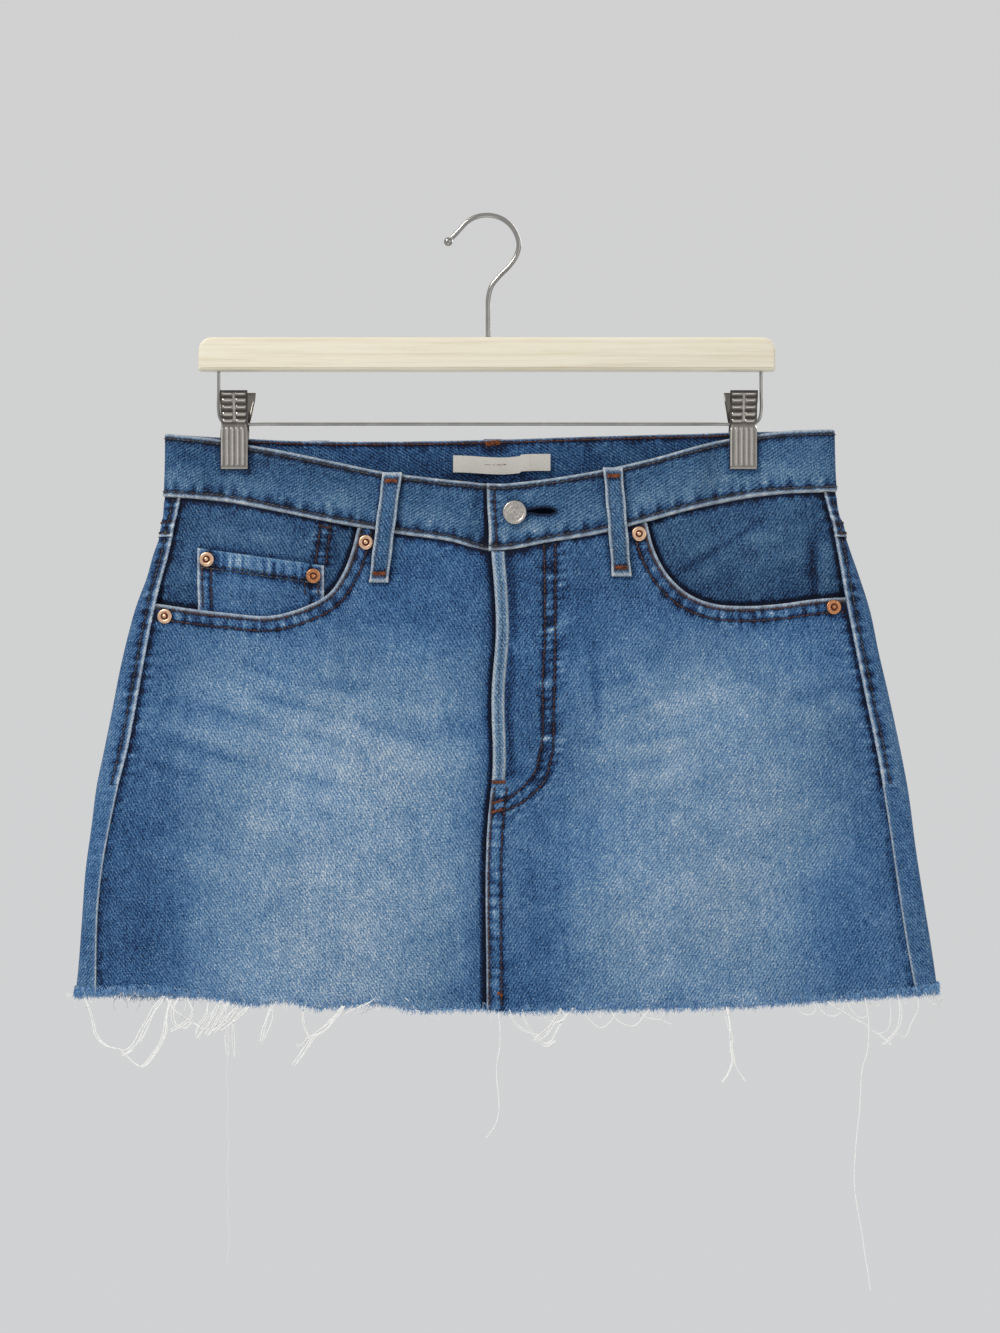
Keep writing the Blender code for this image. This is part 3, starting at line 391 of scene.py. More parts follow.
class Nodes:
    def __init__(self, name):
        self.mat = bpy.data.materials.new(name)
        self.mat.use_nodes = True
        self.t = self.mat.node_tree
        self.p = self.t.nodes["Principled BSDF"]

    def link(self, a, b):
        self.t.links.new(a, b)

    def put(self, socket, value):
        if hasattr(value, "is_output"):
            self.link(value, socket)
        else:
            socket.default_value = value

    def math(self, op, *values):
        n = self.t.nodes.new("ShaderNodeMath")
        n.operation = op
        for i, v in enumerate(values):
            self.put(n.inputs[i], v)
        return n.outputs[0]

    def attr(self, name):
        n = self.t.nodes.new("ShaderNodeAttribute")
        n.attribute_name = name
        return n.outputs["Fac"]

    def uv(self):
        n = self.t.nodes.new("ShaderNodeUVMap")
        n.uv_map = "mm"
        return n.outputs[0]

    def obj(self):
        n = self.t.nodes.new("ShaderNodeTexCoord")
        return n.outputs["Object"]

    def scaled(self, vec, x, y, z=1.0, rot=0.0):
        n = self.t.nodes.new("ShaderNodeMapping")
        self.link(vec, n.inputs["Vector"])
        n.inputs["Scale"].default_value = (x, y, z)
        n.inputs["Rotation"].default_value = (0, 0, rot)
        return n.outputs[0]

    def noise(self, vec, scale=1.0, detail=2.0, rough=0.5, distort=0.0):
        n = self.t.nodes.new("ShaderNodeTexNoise")
        self.link(vec, n.inputs["Vector"])
        n.inputs["Scale"].default_value = scale
        n.inputs["Detail"].default_value = detail
        n.inputs["Roughness"].default_value = rough
        n.inputs["Distortion"].default_value = distort
        return n.outputs["Fac"]

    def wave(self, vec, scale, distortion=0.0, direction="X", detail=2.0):
        n = self.t.nodes.new("ShaderNodeTexWave")
        n.bands_direction = direction
        self.link(vec, n.inputs["Vector"])
        n.inputs["Scale"].default_value = scale
        n.inputs["Distortion"].default_value = distortion
        n.inputs["Detail"].default_value = detail
        return n.outputs["Fac"]

    def ramp(self, fac, stops, mode="LINEAR"):
        n = self.t.nodes.new("ShaderNodeValToRGB")
        n.color_ramp.interpolation = mode
        self.link(fac, n.inputs[0])
        e = n.color_ramp.elements
        e[0].position, e[0].color = stops[0]
        e[1].position, e[1].color = stops[1]
        for pos, col in stops[2:]:
            x = e.new(pos)
            x.color = col
        return n.outputs[0]

    def mix(self, fac, a, b, blend="MIX"):
        n = self.t.nodes.new("ShaderNodeMix")
        n.data_type = "RGBA"
        n.blend_type = blend
        self.put(n.inputs[0], fac)
        self.put(n.inputs[6], a)
        self.put(n.inputs[7], b)
        return n.outputs[2]

    def bump(self, height, strength, distance):
        n = self.t.nodes.new("ShaderNodeBump")
        n.inputs["Strength"].default_value = strength
        n.inputs["Distance"].default_value = distance
        self.link(height, n.inputs["Height"])
        self.link(n.outputs[0], self.p.inputs["Normal"])


def bell(n, value, centre, width):
    """1 where value is at centre, falling off over width."""
    d = n.math("DIVIDE", n.math("SUBTRACT", value, centre), width)
    return n.math("DIVIDE", 1.0, n.math("ADD", 1.0, n.math("POWER", n.math("ABSOLUTE", d), 3.0)))


DENIM_STOPS = [(0.0, srgb(8, 16, 38)), (1.0, srgb(206, 211, 216)), (0.10, srgb(21, 43, 82)), (0.26, srgb(39, 78, 124)),
               (0.44, srgb(68, 108, 149)), (0.62, srgb(102, 135, 168)), (0.80, srgb(142, 164, 186))]


def denim(name, grooves=(), edges=(), shift=0.0, contrast=1.0, inside=False, tint=None, turn=-36.0):
    """Washed twill. grooves and edges are (attribute, place): sewn lines are dark with pale puckers, worn edges pale."""
    n = Nodes(name)
    uv = n.uv()
    # threads: warp runs along v, pale weft shows as specks, and the twill steps up to the right
    speck = n.noise(n.scaled(uv, 1.05, 0.84), 1.0, 3.0, 0.74)
    grit = n.noise(uv, 2.0, 1.0, 0.5)
    fleck = n.noise(n.scaled(uv, 1.25, 0.20), 1.0, 2.0, 0.6)
    weft = n.noise(n.scaled(uv, 0.22, 1.25), 1.0, 2.0, 0.6)
    cloud = n.noise(uv, 0.062, 4.0, 0.62, 0.6)
    patch = n.noise(uv, 0.020, 2.0, 0.5)
    streak = n.noise(n.scaled(uv, 0.45, 0.028), 1.0, 3.0, 0.6)
    twill = n.wave(n.scaled(uv, 1.0, 1.0, 1.0, math.radians(turn)), 0.175, 0.9, "X", 1.0)
    # the tone attribute carries the wash and, in places, painted shade
    v = n.attr("wash_and_shade")
    for tex, amount in ((speck, 1.50 * contrast), (grit, 0.70 * contrast), (fleck, 0.62 * contrast), (weft, 0.42 * contrast),
                        (cloud, 0.36), (patch, 0.20), (streak, 0.26), (twill, 0.20 * contrast)):
        v = n.math("ADD", v, n.math("MULTIPLY", n.math("SUBTRACT", tex, 0.5), amount))
    v = n.math("ADD", v, shift)
    blotch = n.noise(uv, 0.15, 3.0, 0.65, 0.5)
    pk = n.attr("pk")
    v = n.math("ADD", v, n.math("MULTIPLY", pk, n.math("MULTIPLY", n.math("ADD", blotch, 0.1), 0.36)))
    height = n.math("ADD", n.math("MULTIPLY", twill, 1.0), n.math("MULTIPLY", fleck, 0.8))
    height = n.math("ADD", height, n.math("MULTIPLY", speck, 1.3))
    for attribute, place in grooves:
        a = n.attr(attribute)
        line = bell(n, a, place, 1.25)
        wide = bell(n, a, place, 3.4)
        v = n.math("SUBTRACT", v, n.math("MULTIPLY", line, n.math("ADD", 0.17, n.math("MULTIPLY", blotch, 0.28))))
        v = n.math("ADD", v, n.math("MULTIPLY", wide, n.math("MULTIPLY", n.math("SUBTRACT", blotch, 0.52), 0.9)))
        height = n.math("SUBTRACT", height, n.math("MULTIPLY", line, 1.6))
    bleach = None
    for attribute, place, width, strength in edges:
        a = n.attr(attribute)
        worn = bell(n, a, place, width)
        rough = n.math("ADD", n.math("MULTIPLY", blotch, 0.55), n.math("MULTIPLY", speck, 0.75))
        gain = n.math("MULTIPLY", worn, n.math("MULTIPLY", rough, strength))
        v = n.math("ADD", v, gain)
        bleach = gain if bleach is None else n.math("MAXIMUM", bleach, gain)
    v = n.math("MAXIMUM", n.math("MINIMUM", v, 1.0), 0.0)
    colour = n.ramp(v, DENIM_STOPS)
    # green and violet casts of old indigo
    cast = n.ramp(n.noise(uv, 0.012, 2.0), [(0.3, (0.95, 1.0, 1.03, 1)), (0.7, (1.03, 1.0, 0.96, 1))])
    colour = n.mix(1.0, colour, cast, "MULTIPLY")
    if tint:
        colour = n.mix(1.0, colour, tint, "MULTIPLY")
    if bleach is not None:
        # worn edges show the undyed core of the yarn
        colour = n.mix(n.math("MINIMUM", n.math("MULTIPLY", bleach, 1.35), 0.72), colour, srgb(196, 199, 200))
    if inside:
        colour = n.mix(0.55, colour, srgb(178, 186, 194))
    n.link(colour, n.p.inputs["Base Color"])
    n.p.inputs["Roughness"].default_value = 0.9
    n.p.inputs["Specular IOR Level"].default_value = 0.18
    n.p.inputs["Sheen Weight"].default_value = 0.05
    n.p.inputs["Sheen Roughness"].default_value = 0.5
    n.bump(height, 0.6, 0.00045)
    return n.mat


def cotton(name, colour, dark, rough=0.85, scale=900.0):
    n = Nodes(name)
    o = n.obj()
    tone = n.ramp(n.noise(o, scale, 2.0), [(0.32, (0, 0, 0, 1)), (0.64, (1, 1, 1, 1))])
    n.link(n.mix(tone, dark, colour), n.p.inputs["Base Color"])
    n.p.inputs["Roughness"].default_value = rough
    n.p.inputs["Specular IOR Level"].default_value = 0.25
    n.bump(n.noise(o, 2400.0, 1.0), 0.35, 0.0001)
    return n.mat


def metal(name, colour, dark, rough=(0.22, 0.42), scale=260.0, bump=0.00004, stretch=(1, 1, 1)):
    n = Nodes(name)
    o = n.scaled(n.obj(), *stretch)
    wear = n.noise(o, scale, 4.0, 0.6)
    n.link(n.mix(n.ramp(wear, [(0.35, (0, 0, 0, 1)), (0.75, (1, 1, 1, 1))]), dark, colour), n.p.inputs["Base Color"])
    r = n.t.nodes.new("ShaderNodeMapRange")
    n.link(n.noise(o, scale * 0.6, 3.0), r.inputs["Value"])
    r.inputs["To Min"].default_value, r.inputs["To Max"].default_value = rough
    n.link(r.outputs[0], n.p.inputs["Roughness"])
    n.p.inputs["Metallic"].default_value = 1.0
    n.bump(wear, 0.25, bump)
    return n.mat


M_FRONT = denim("denim_front", grooves=[("dp", 2.6), ("dp", 9.0), ("dj", 0.0), ("dj", 6.6), ("dc", 2.0), ("dc", 9.4), ("ds", 1.0), ("dw", 0.6)],
                edges=[("dp", 0.6, 1.1, 0.50), ("dc", 0.4, 0.8, 0.40)])
M_BACK = denim("denim_back", grooves=[("ds", 4.7), ("dy", 2.4), ("dy", 8.6), ("dc", 2.4), ("dc", 8.8), ("dw", 0.6)],
               edges=[("dse", 1.0, 0.62, 0.50), ("dy", 0.5, 0.8, 0.44), ("dc", 0.5, 0.8, 0.44)])
M_BAND = denim("denim_band", grooves=[("dlow", 3.3), ("dtop", 3.0), ("dend", 4.6)],
               edges=[("dlow", 0.7, 0.95, 0.50), ("dtop", 0.5, 0.9, 0.46), ("dend", 0.8, 0.8, 0.50)], shift=-0.07, turn=58.0, tint=(0.99, 0.94, 0.88, 1))
M_BAND_IN = denim("denim_band_inside", grooves=[("dtop", 2.6)], edges=[("dtop", 0.0, 0.6, 0.4)], shift=-0.12, turn=58.0)
M_FACING = denim("denim_facing", grooves=[("dp", 1.5), ("dw", 0.8), ("ds", 1.0), ("dg", 0.0)], shift=-0.07, tint=(0.90, 0.86, 0.82, 1))
M_TRIM = denim("denim_trim", grooves=[("de", 2.3), ("de", 8.6)], edges=[("de", 0.5, 0.8, 0.46)], shift=-0.02)
M_FLY = denim("denim_fly", edges=[("de", 0.7, 0.9, 0.34)], shift=0.02, tint=(1.02, 0.98, 0.92, 1))
M_COIN = denim("denim_coin", grooves=[("de", 8.2), ("dh", 0.0)], edges=[("de", 0.5, 0.95, 0.56)], shift=-0.04)
M_LOOP = denim("denim_loop", edges=[("de", 0.55, 0.8, 0.46), ("dh", 0.4, 1.6, 0.50)], shift=-0.04, contrast=1.15, tint=(1.05, 1.0, 0.93, 1))
M_INSIDE = denim("denim_inside", shift=0.05, inside=True)
M_BROWN = cotton("thread_brown", srgb(88, 60, 52), srgb(26, 24, 34), scale=420.0)
M_ORANGE = cotton("thread_orange", srgb(150, 84, 46), srgb(58, 36, 30), scale=600.0)
M_CHAIN = cotton("thread_chain", srgb(112, 66, 40), srgb(42, 28, 28), scale=420.0)
M_TONAL = cotton("thread_grey_blue", srgb(92, 92, 94), srgb(26, 32, 46), scale=420.0)
M_WHITE = cotton("thread_white", srgb(250, 249, 246), srgb(232, 232, 230), 0.9)
M_BLUE = cotton("thread_blue", srgb(134, 176, 212), srgb(76, 124, 178), 0.9, scale=500.0)
M_PALE = cotton("thread_pale_blue", srgb(206, 218, 228), srgb(136, 172, 204), 0.9)


# ------------------------------------------------------------------ mesh helpers
def build(name, verts, faces, mats, index=None, attrs=None, uv=None, cad=(), sharp=50, smooth_on=True):
    me = bpy.data.meshes.new(name)
    me.from_pydata((np.asarray(verts) * MM).tolist(), [], faces if isinstance(faces, list) else faces.tolist())
    for m in mats:
        me.materials.append(m)
    if index is not None:
        me.polygons.foreach_set("material_index", np.asarray(index, np.int32))
    for key, values in (attrs or {}).items():
        a = me.attributes.new(key, "FLOAT", "POINT")
        a.data.foreach_set("value", np.asarray(values, np.float32).ravel())
    if uv is not None:
        layer = me.uv_layers.new(name="mm")
        loops = np.empty(len(me.loops), np.int32)
        me.loops.foreach_get("vertex_index", loops)
        layer.data.foreach_set("uv", np.asarray(uv, np.float32)[loops].ravel())
    me.update()
    if smooth_on:
        me.shade_smooth()
        me.set_sharp_from_angle(angle=math.radians(sharp))
    ob = bpy.data.objects.new(name, me)
    scene.collection.objects.link(ob)
    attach(ob, "root")
    if cad:
        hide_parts(*cad)
    return ob


def shell(name, q, z, d_out, d_in, mats, attrs, cad=(), flip=False):
    """A closed cloth wall from grids of ring places and offsets. mats are the outer and inner materials."""
    nc, nr = q.shape
    s, n = surface(q, z), normal(q, z)
    outer = s + n * d_out[..., None]
    inner = s + n * d_in[..., None]
    verts = np.concatenate([outer.reshape(-1, 3), inner.reshape(-1, 3)])
    idx = np.arange(nc * nr).reshape(nc, nr)
    off = nc * nr
    a, b, c, d = idx[:-1, :-1].ravel(), idx[1:, :-1].ravel(), idx[1:, 1:].ravel(), idx[:-1, 1:].ravel()
    f1 = np.stack([a, b, c, d], -1)
    f2 = np.stack([a, d, c, b], -1) + off
    rims = []
    top, low, left, right = idx[:, 0], idx[:, -1], idx[0, :], idx[-1, :]
    rims.append(np.stack([top[:-1], top[:-1] + off, top[1:] + off, top[1:]], -1))
    rims.append(np.stack([low[:-1], low[1:], low[1:] + off, low[:-1] + off], -1))
    rims.append(np.stack([left[:-1], left[1:], left[1:] + off, left[:-1] + off], -1))
    rims.append(np.stack([right[:-1], right[:-1] + off, right[1:] + off, right[1:]], -1))
    faces = np.concatenate([f1, f2, *rims])
    index = np.r_[np.zeros(len(f1), int), np.ones(len(f2), int), np.zeros(len(faces) - len(f1) - len(f2), int)]
    # the grid may run either way round; faces point outwards
    mid = (nc // 2, nr // 2)
    e1 = outer[mid[0] + 1, mid[1]] - outer[mid]
    e2 = outer[mid[0], mid[1] + 1] - outer[mid]
    if np.dot(np.cross(e1, e2), n[mid]) < 0:
        faces = faces[:, ::-1]
    step = np.linalg.norm(np.diff(outer, axis=0)[..., :2], axis=-1)
    u = np.concatenate([np.zeros((1, nr)), np.cumsum(step, axis=0)])
    u = u - u[nc // 2][None] + outer[nc // 2, nr // 2, 0]
    uv = np.stack([u, z], -1).reshape(-1, 2)
    uv = np.concatenate([uv, uv + 400.0])
    attrs = dict(attrs)
    inside_wash_and_shade = attrs.pop("inside_wash_and_shade", attrs["wash_and_shade"])
    attrs.setdefault("pk", np.zeros(q.shape))
    for key in ("dp", "dj", "dc", "ds", "dse", "dw", "dy", "de", "dg", "dh", "dlow", "dtop", "dend"):
        attrs.setdefault(key, np.full(q.shape, 99.0))
    both = {k: np.r_[np.broadcast_to(v, q.shape).ravel(), np.broadcast_to(v, q.shape).ravel()] for k, v in attrs.items()}
    both["wash_and_shade"] = np.r_[np.broadcast_to(attrs["wash_and_shade"], q.shape).ravel(), np.broadcast_to(inside_wash_and_shade, q.shape).ravel()]
    area = np.linalg.norm(np.cross(outer[1:, :-1] - outer[:-1, :-1], outer[:-1, 1:] - outer[:-1, :-1]), axis=-1).sum() * 1e-6
    ob = build(name + "_cloth" if name in cad else name, verts, faces, mats, index, both, uv, cad)
    ob["cut_area"] = float(area)
    width = float(step.sum(axis=0).max()) * MM
    tall = float(np.linalg.norm(np.diff(outer, axis=1), axis=-1).sum(axis=1).max()) * MM
    ob["cut_w"], ob["cut_h"] = width, tall
    return ob


def roll(dist, r):
    """How much an edge of radius r is rounded away at a distance from it."""
    d = np.clip(dist, 0, r)
    return r - np.sqrt(np.maximum(r * r - (r - d) ** 2, 0))


def spread(total, first=(0, 0.2, 0.55, 1.1, 1.9, 3.0), last=(), step=2.3):
    """Places from 0 to total, close together at the ends."""
    tail = [total - v for v in reversed(last)]
    a = list(first)
    n = max(1, int(((tail[0] if tail else total) - a[-1]) / step))
    body = list(np.linspace(a[-1], tail[0] if tail else total, n + 1))[1:]
    return np.array(a + body + tail[1:] if tail else a + body) / total


# ------------------------------------------------------------------ front panels
def front_layer(x, z, right):
    """Outer offset of a front panel, and its attribute distances."""
    line = mouth_r if right else mouth_l
    dp = line_distance(x, z, line)
    side = (seam_r(z) - x) if right else (x - seam_l(z))
    dc = x - fly_x(z)
    dw = band_low_f(x) - z
    d = ridge(x, z, WHISKERS) + hem_flute(x, z, hem_f(x)) * 0.6
    d = d + 0.5 * (1 - smooth(9.8, 12.0, dp)) + rope(x - z, dp - 6.0, 5.5, 10.0, 0.16)
    d = d - 0.55 * (1 - smooth(0.5, 5.5, side)) + rope(z, side, 6.0, 10.5, 0.16)
    d = d - 0.5 * (1 - smooth(0.0, 5.0, dw)) + rope(x, dw, 6.0, 8.0, 0.12)
    sp = line_place(x, z, line)
    pk = pucker(sp, dp - 5.5, 6.5, 7.5, 1.0 if right else 0.0) + 0.8 * pucker(z, side - 2.0, 6.0, 8.0, 2.0) * smooth(-352, -344, z)
    pk = pk + 0.7 * pucker(x, dw - 1.0, 4.0, 9.0, 0.6)
    dj = 0 * x + 99.0
    if right:
        inside = (x < j_out_x(np.maximum(z, -365.0))) & (z > -365.2)
        dj = np.where(inside, 1.0, -1.0) * line_distance(x, z, j_line)
        d = d + 0.55 * smooth(-1.4, 1.6, dj) + rope(z, np.abs(dj) - 3.0, 5.0, 9.0, 0.12)
        pk = pk + 1.1 * pucker(line_place(x, z, j_line), np.abs(dj) - 3.4, 4.4, 5.2, 0.4)
        # four buttons behind the fly press through
        for zb in (-221.0, -254.0, -286.0, -320.0):
            d = d + 0.8 * gauss(x, 24.0, 12.0) * gauss(z, zb, 7.0)
            pk = pk + 2.4 * gauss(x, 37.0, 5.0) * (gauss(z, zb, 1.5) - 0.5 * gauss(z, zb + 4.5, 3.0))
        seam = 1 - smooth(-352.0, -345.0, z)
        d = d + seam * 0.7 * (1 - smooth(10.6, 13.0, dc)) + seam * rope(z, dc - 6.0, 6.0, 8.5, 0.16)
        pk = pk + seam * pucker(z, dc - 5.5, 6.0, 6.5, 3.0)
        dc_a = np.where(z < -348.0, dc, 60.0)
    else:
        d = d - 1.8 * smooth(-9.0, -2.0, dc)
        dc_a = 60.0 + 0 * x
    side = np.maximum(side, 3.0 * (1 - smooth(-352.0, -345.0, z)))
    return d, dict(dp=dp, ds=side, dc=dc_a, dw=dw, dj=dj, pk=pk)


def front_panel(name, right):
    side = (lambda z: seam_r(z) + 0.9) if right else (lambda z: seam_l(z) - 0.9)
    inner = fly_x if right else (lambda z: fly_x(z) + 9.0)
    mouth = dense(POCKET_R if right else POCKET_L, 1.5)
    end = mouth[-1]
    x_end = float(inner(-204.0))
    wx = np.linspace(end[0], x_end, int(abs(end[0] - x_end) / 2.2))[1:]
    if right:
        wx = np.r_[wx[:-1], wx[-1] + 1.2, wx[-1] + 0.5, wx[-1]]
    line = np.concatenate([mouth, np.stack([wx, band_low_f(wx) + 0.5], -1)])
    share = (line[:, 0] - side(line[:, 1])) / (inner(line[:, 1]) - side(line[:, 1]))
    share[0], share[-1] = 0.0, 1.0
    share = np.maximum.accumulate(share)
    top = line[:, 1]
    t = spread(260.0, last=(2.4, 1.4, 0.7, 0.0), step=2.4)
    q = np.empty((len(share), len(t)))
    zz = np.empty_like(q)
    for i, (s, z0) in enumerate(zip(share, top)):
        foot = z0 - 250.0
        for _ in range(5):
            xf = side(foot) + (inner(foot) - side(foot)) * s
            foot = float(hem_f(xf) + wander(xf))
        z = z0 + (foot - z0) * t
        x = side(z) + (inner(z) - side(z)) * s
        zz[i], q[i] = z, q_front(x, z)
    x = surface(q, zz)[..., 0]
    d, attrs = front_layer(x, zz, right)
    edge = np.minimum(attrs["dp"], np.abs(x - inner(zz)))
    hem_d = np.abs(zz - (hem_f(x) + wander(x)))
    thick = CLOTH + 0.5 * (1 - smooth(9.0, 11.0, attrs["dp"]))
    r = 0.68
    d_out = d - roll(edge, r) - 0.5 * roll(hem_d, r)
    d_in = d - thick + roll(edge, r) + 0.5 * roll(hem_d, r)
    attrs["wash_and_shade"] = front_wash_and_shade(x, zz) - 0.12 * (1 - smooth(0, 7, attrs["ds"])) - 0.12 * (1 - smooth(0.0, 6.0, attrs["dw"])) \
        + 0.10 * gauss(hem_d, 0.0, 3.0)
    if right:
        attrs["wash_and_shade"] = attrs["wash_and_shade"] - 0.22 * gauss(x - fly_x(zz), 10.4, 2.4) * smooth(-348, -340, zz) \
            - 0.02 * smooth(0.5, 3.0, attrs["dj"]) * smooth(-352, -330, zz)
    else:
        # painted shadow: the left panel turns dark towards the fly line, where the right panel laps over it
        attrs["wash_and_shade"] = attrs["wash_and_shade"] - 0.62 * smooth(-4.4, -1.0, x - fly_x(zz)) - 0.06 * smooth(-16.0, -3.0, x - fly_x(zz))
    return shell(name, q, zz, d_out, d_in, [M_FRONT, M_INSIDE], attrs, cad=(name,))


fl = front_panel("front_left", False)
fr = front_panel("front_right", True)


# ------------------------------------------------------------------ back panels and yokes
def ring_columns(right, n_side=9, n_fold=16, n_back=84):
    """Lines down the back, from the side seam round the fold to the centre: functions of z."""
    t1 = np.linspace(0, 1, n_side + n_fold) ** 0.85
    parts = [("side", t) for t in t1[:-1]] + [("back", q) for q in np.r_[np.linspace(1.0, 1.14, n_fold)[:-1] , np.linspace(1.14, 2.0, n_back)]]
    return parts


def ring_q(part, z, right):
    kind, t = part
    if kind == "side":
        if right:
            return q_front(seam_r(z) - 0.0, z) * (1 - t) + t
        return 4.0 + q_front(seam_l(z) + 0.0, z) * (1 - t) - t
    lap = 0.006 if not right else 0.0
    if right:
        return np.full_like(z, t)
    return np.full_like(z, 4.0 - t - (lap if t >= 2.0 else 0.0))


def yoke_z(q):
    m = np.abs(q - 2.0)
    return YOKE_SIDE + (YOKE_BACK - YOKE_SIDE) * np.where(m < 1.0, 1.0 - m, 0.0)


def band_low_at(q, z):
    x = surface(q, z)[..., 0]
    return np.where(np.cos(q * math.pi / 2) > 0, band_low_f(x), band_low_b(x))


def hem_at(x, q):
    return np.where(np.cos(q * math.pi / 2) > 0, hem_f(x), hem_b(x)) + wander(x) * np.where(np.cos(q * math.pi / 2) > 0, 1.0, -0.8)


def side_distance(q, z, right):
    """Distance along the cloth from the side seam, near enough near it."""
    q0 = q_front(seam_r(z), z) if right else 4.0 + q_front(seam_l(z), z)
    p0, p = surface(q0, z), surface(q, z)
    return np.linalg.norm((p - p0)[..., :2], axis=-1)


def back_layer(q, z, right, yoke):
    x = surface(q, z)[..., 0]
    ds = side_distance(q, z, right)
    dc = np.where(np.cos(q * math.pi / 2) < 0, np.abs(x - surface(np.full_like(q, 2.0), z)[..., 0]), 99.0)
    dy = (z - yoke_z(q)) if yoke else np.full_like(z, 99.0)
    on_back = np.cos(q * math.pi / 2) < 0
    d = np.where(on_back, ridge(x, z, BACK_FOLDS), 0.0)
    d = d + np.where(on_back, 1.0, 0.0) * hem_flute(x + 40, z, hem_b(x)) * 0.5
    d = d + 0.8 * np.exp(-(ds / 3.0) ** 4) + rope(z, ds - 2.0, 4.0, 9.5, 0.16)
    if right:
        d = d + 0.6 * (1 - smooth(10.0, 12.5, dc))
    d = d + rope(z, dc, 6.0, 8.5, 0.14)
    if yoke:
        d = d + 0.55 * (1 - smooth(9.8, 12.0, dy)) + rope(x, dy - 5.0, 5.5, 9.0, 0.12)
    else:
        below = yoke_z(q) - z
        d = d - 0.25 * (1 - smooth(0, 5, below))
    dw = band_low_at(q, z) - z if yoke else np.full_like(z, 99.0)
    d = d - 0.4 * (1 - smooth(0.0, 5.0, dw))
    pk = 1.2 * pucker(z, ds - 4.0, 5.5, 7.0, 0.3 if right else 1.9) * (0.25 + 0.75 * smooth(-356, -344, z))
    if right:
        pk = pk + pucker(z, dc - 5.0, 6.5, 7.0, 0.9)
    if yoke:
        pk = pk + pucker(x + z, dy - 5.0, 6.5, 6.5, 2.2)
    dse = ds + 1.0 * (1 - smooth(-356, -344, z))
    ds = ds + 60.0 * (1 - smooth(-354, -349, z))
    return d, dict(pk=pk, dse=dse, ds=ds, dc=dc if right else np.full_like(z, 99.0), dy=dy, dw=dw, dj=np.full_like(z, 99.0), dp=np.full_like(z, 99.0)), x, on_back


def back_piece(name, right, yoke):
    parts = ring_columns(right)
    zs = np.array([-200.0])
    rows = spread(60.0 if yoke else 285.0, last=(2.2, 1.2, 0.5, 0.0), step=2.8 if not yoke else 2.6)
    q = np.empty((len(parts), len(rows)))
    zz = np.empty_like(q)
    for i, part in enumerate(parts):
        qa = float(ring_q(part, np.array([YOKE_SIDE]), right)[0])
        seam = float(yoke_z(np.array([qa]))[0])
        if yoke:
            top = -172.0
            for _ in range(4):
                qq = ring_q(part, np.array([top]), right)
                top = float(band_low_at(qq, np.array([top]))[0]) + 0.5
            low = seam
        else:
            top = seam + 0.9
            low = -480.0
            for _ in range(3):
                qq = ring_q(part, np.array([low]), right)
                low = float(hem_at(surface(qq, np.array([low]))[..., 0], qq)[0])
        zz[i] = top + (low - top) * rows
        q[i] = ring_q(part, zz[i], right)
    d, attrs, x, on_back = back_layer(q, zz, right, yoke)
    low_edge = np.abs(zz - zz[:, -1:])
    seam_edge = np.minimum(attrs["ds"], attrs["dc"] if right else 99.0)
    if yoke:
        seam_edge = np.minimum(seam_edge, low_edge)
    else:
        d = d - 0.55 * (1 - smooth(0.0, 1.4, np.abs(zz - zz[:, :1])))
    r = 0.68
    d_out = d - roll(seam_edge, r) - (0 if yoke else 0.5) * roll(low_edge, r)
    d_in = d - CLOTH + roll(seam_edge, r)
    wash_and_shade = np.where(on_back, fade_back(x, zz), 0.37 + 0.06 * gauss(zz, -330, 60))
    wash_and_shade = wash_and_shade + 0.04 * np.exp(-((attrs["ds"] - 1.4) / 1.2) ** 2) * (0.3 + 0.7 * smooth(-356, -344, zz)) \
        - 0.10 * np.exp(-((attrs["ds"] - 6.0) / 2.2) ** 2)
    wash_and_shade = wash_and_shade - 0.12 * (1 - smooth(0, 6, attrs["dw"])) + (0.0 if yoke else 0.10) * gauss(low_edge, 0, 3.0)
    if not yoke:
        wash_and_shade = wash_and_shade - 0.12 * (1 - smooth(0, 5, yoke_z(q) - zz))
    attrs["wash_and_shade"] = wash_and_shade
    return shell(name, q, zz, d_out, d_in, [M_BACK, M_INSIDE], attrs, cad=(name,))


for right, tag in ((False, "left"), (True, "right")):
    back_piece("back_" + tag, right, False)
    back_piece("yoke_" + tag, right, True)


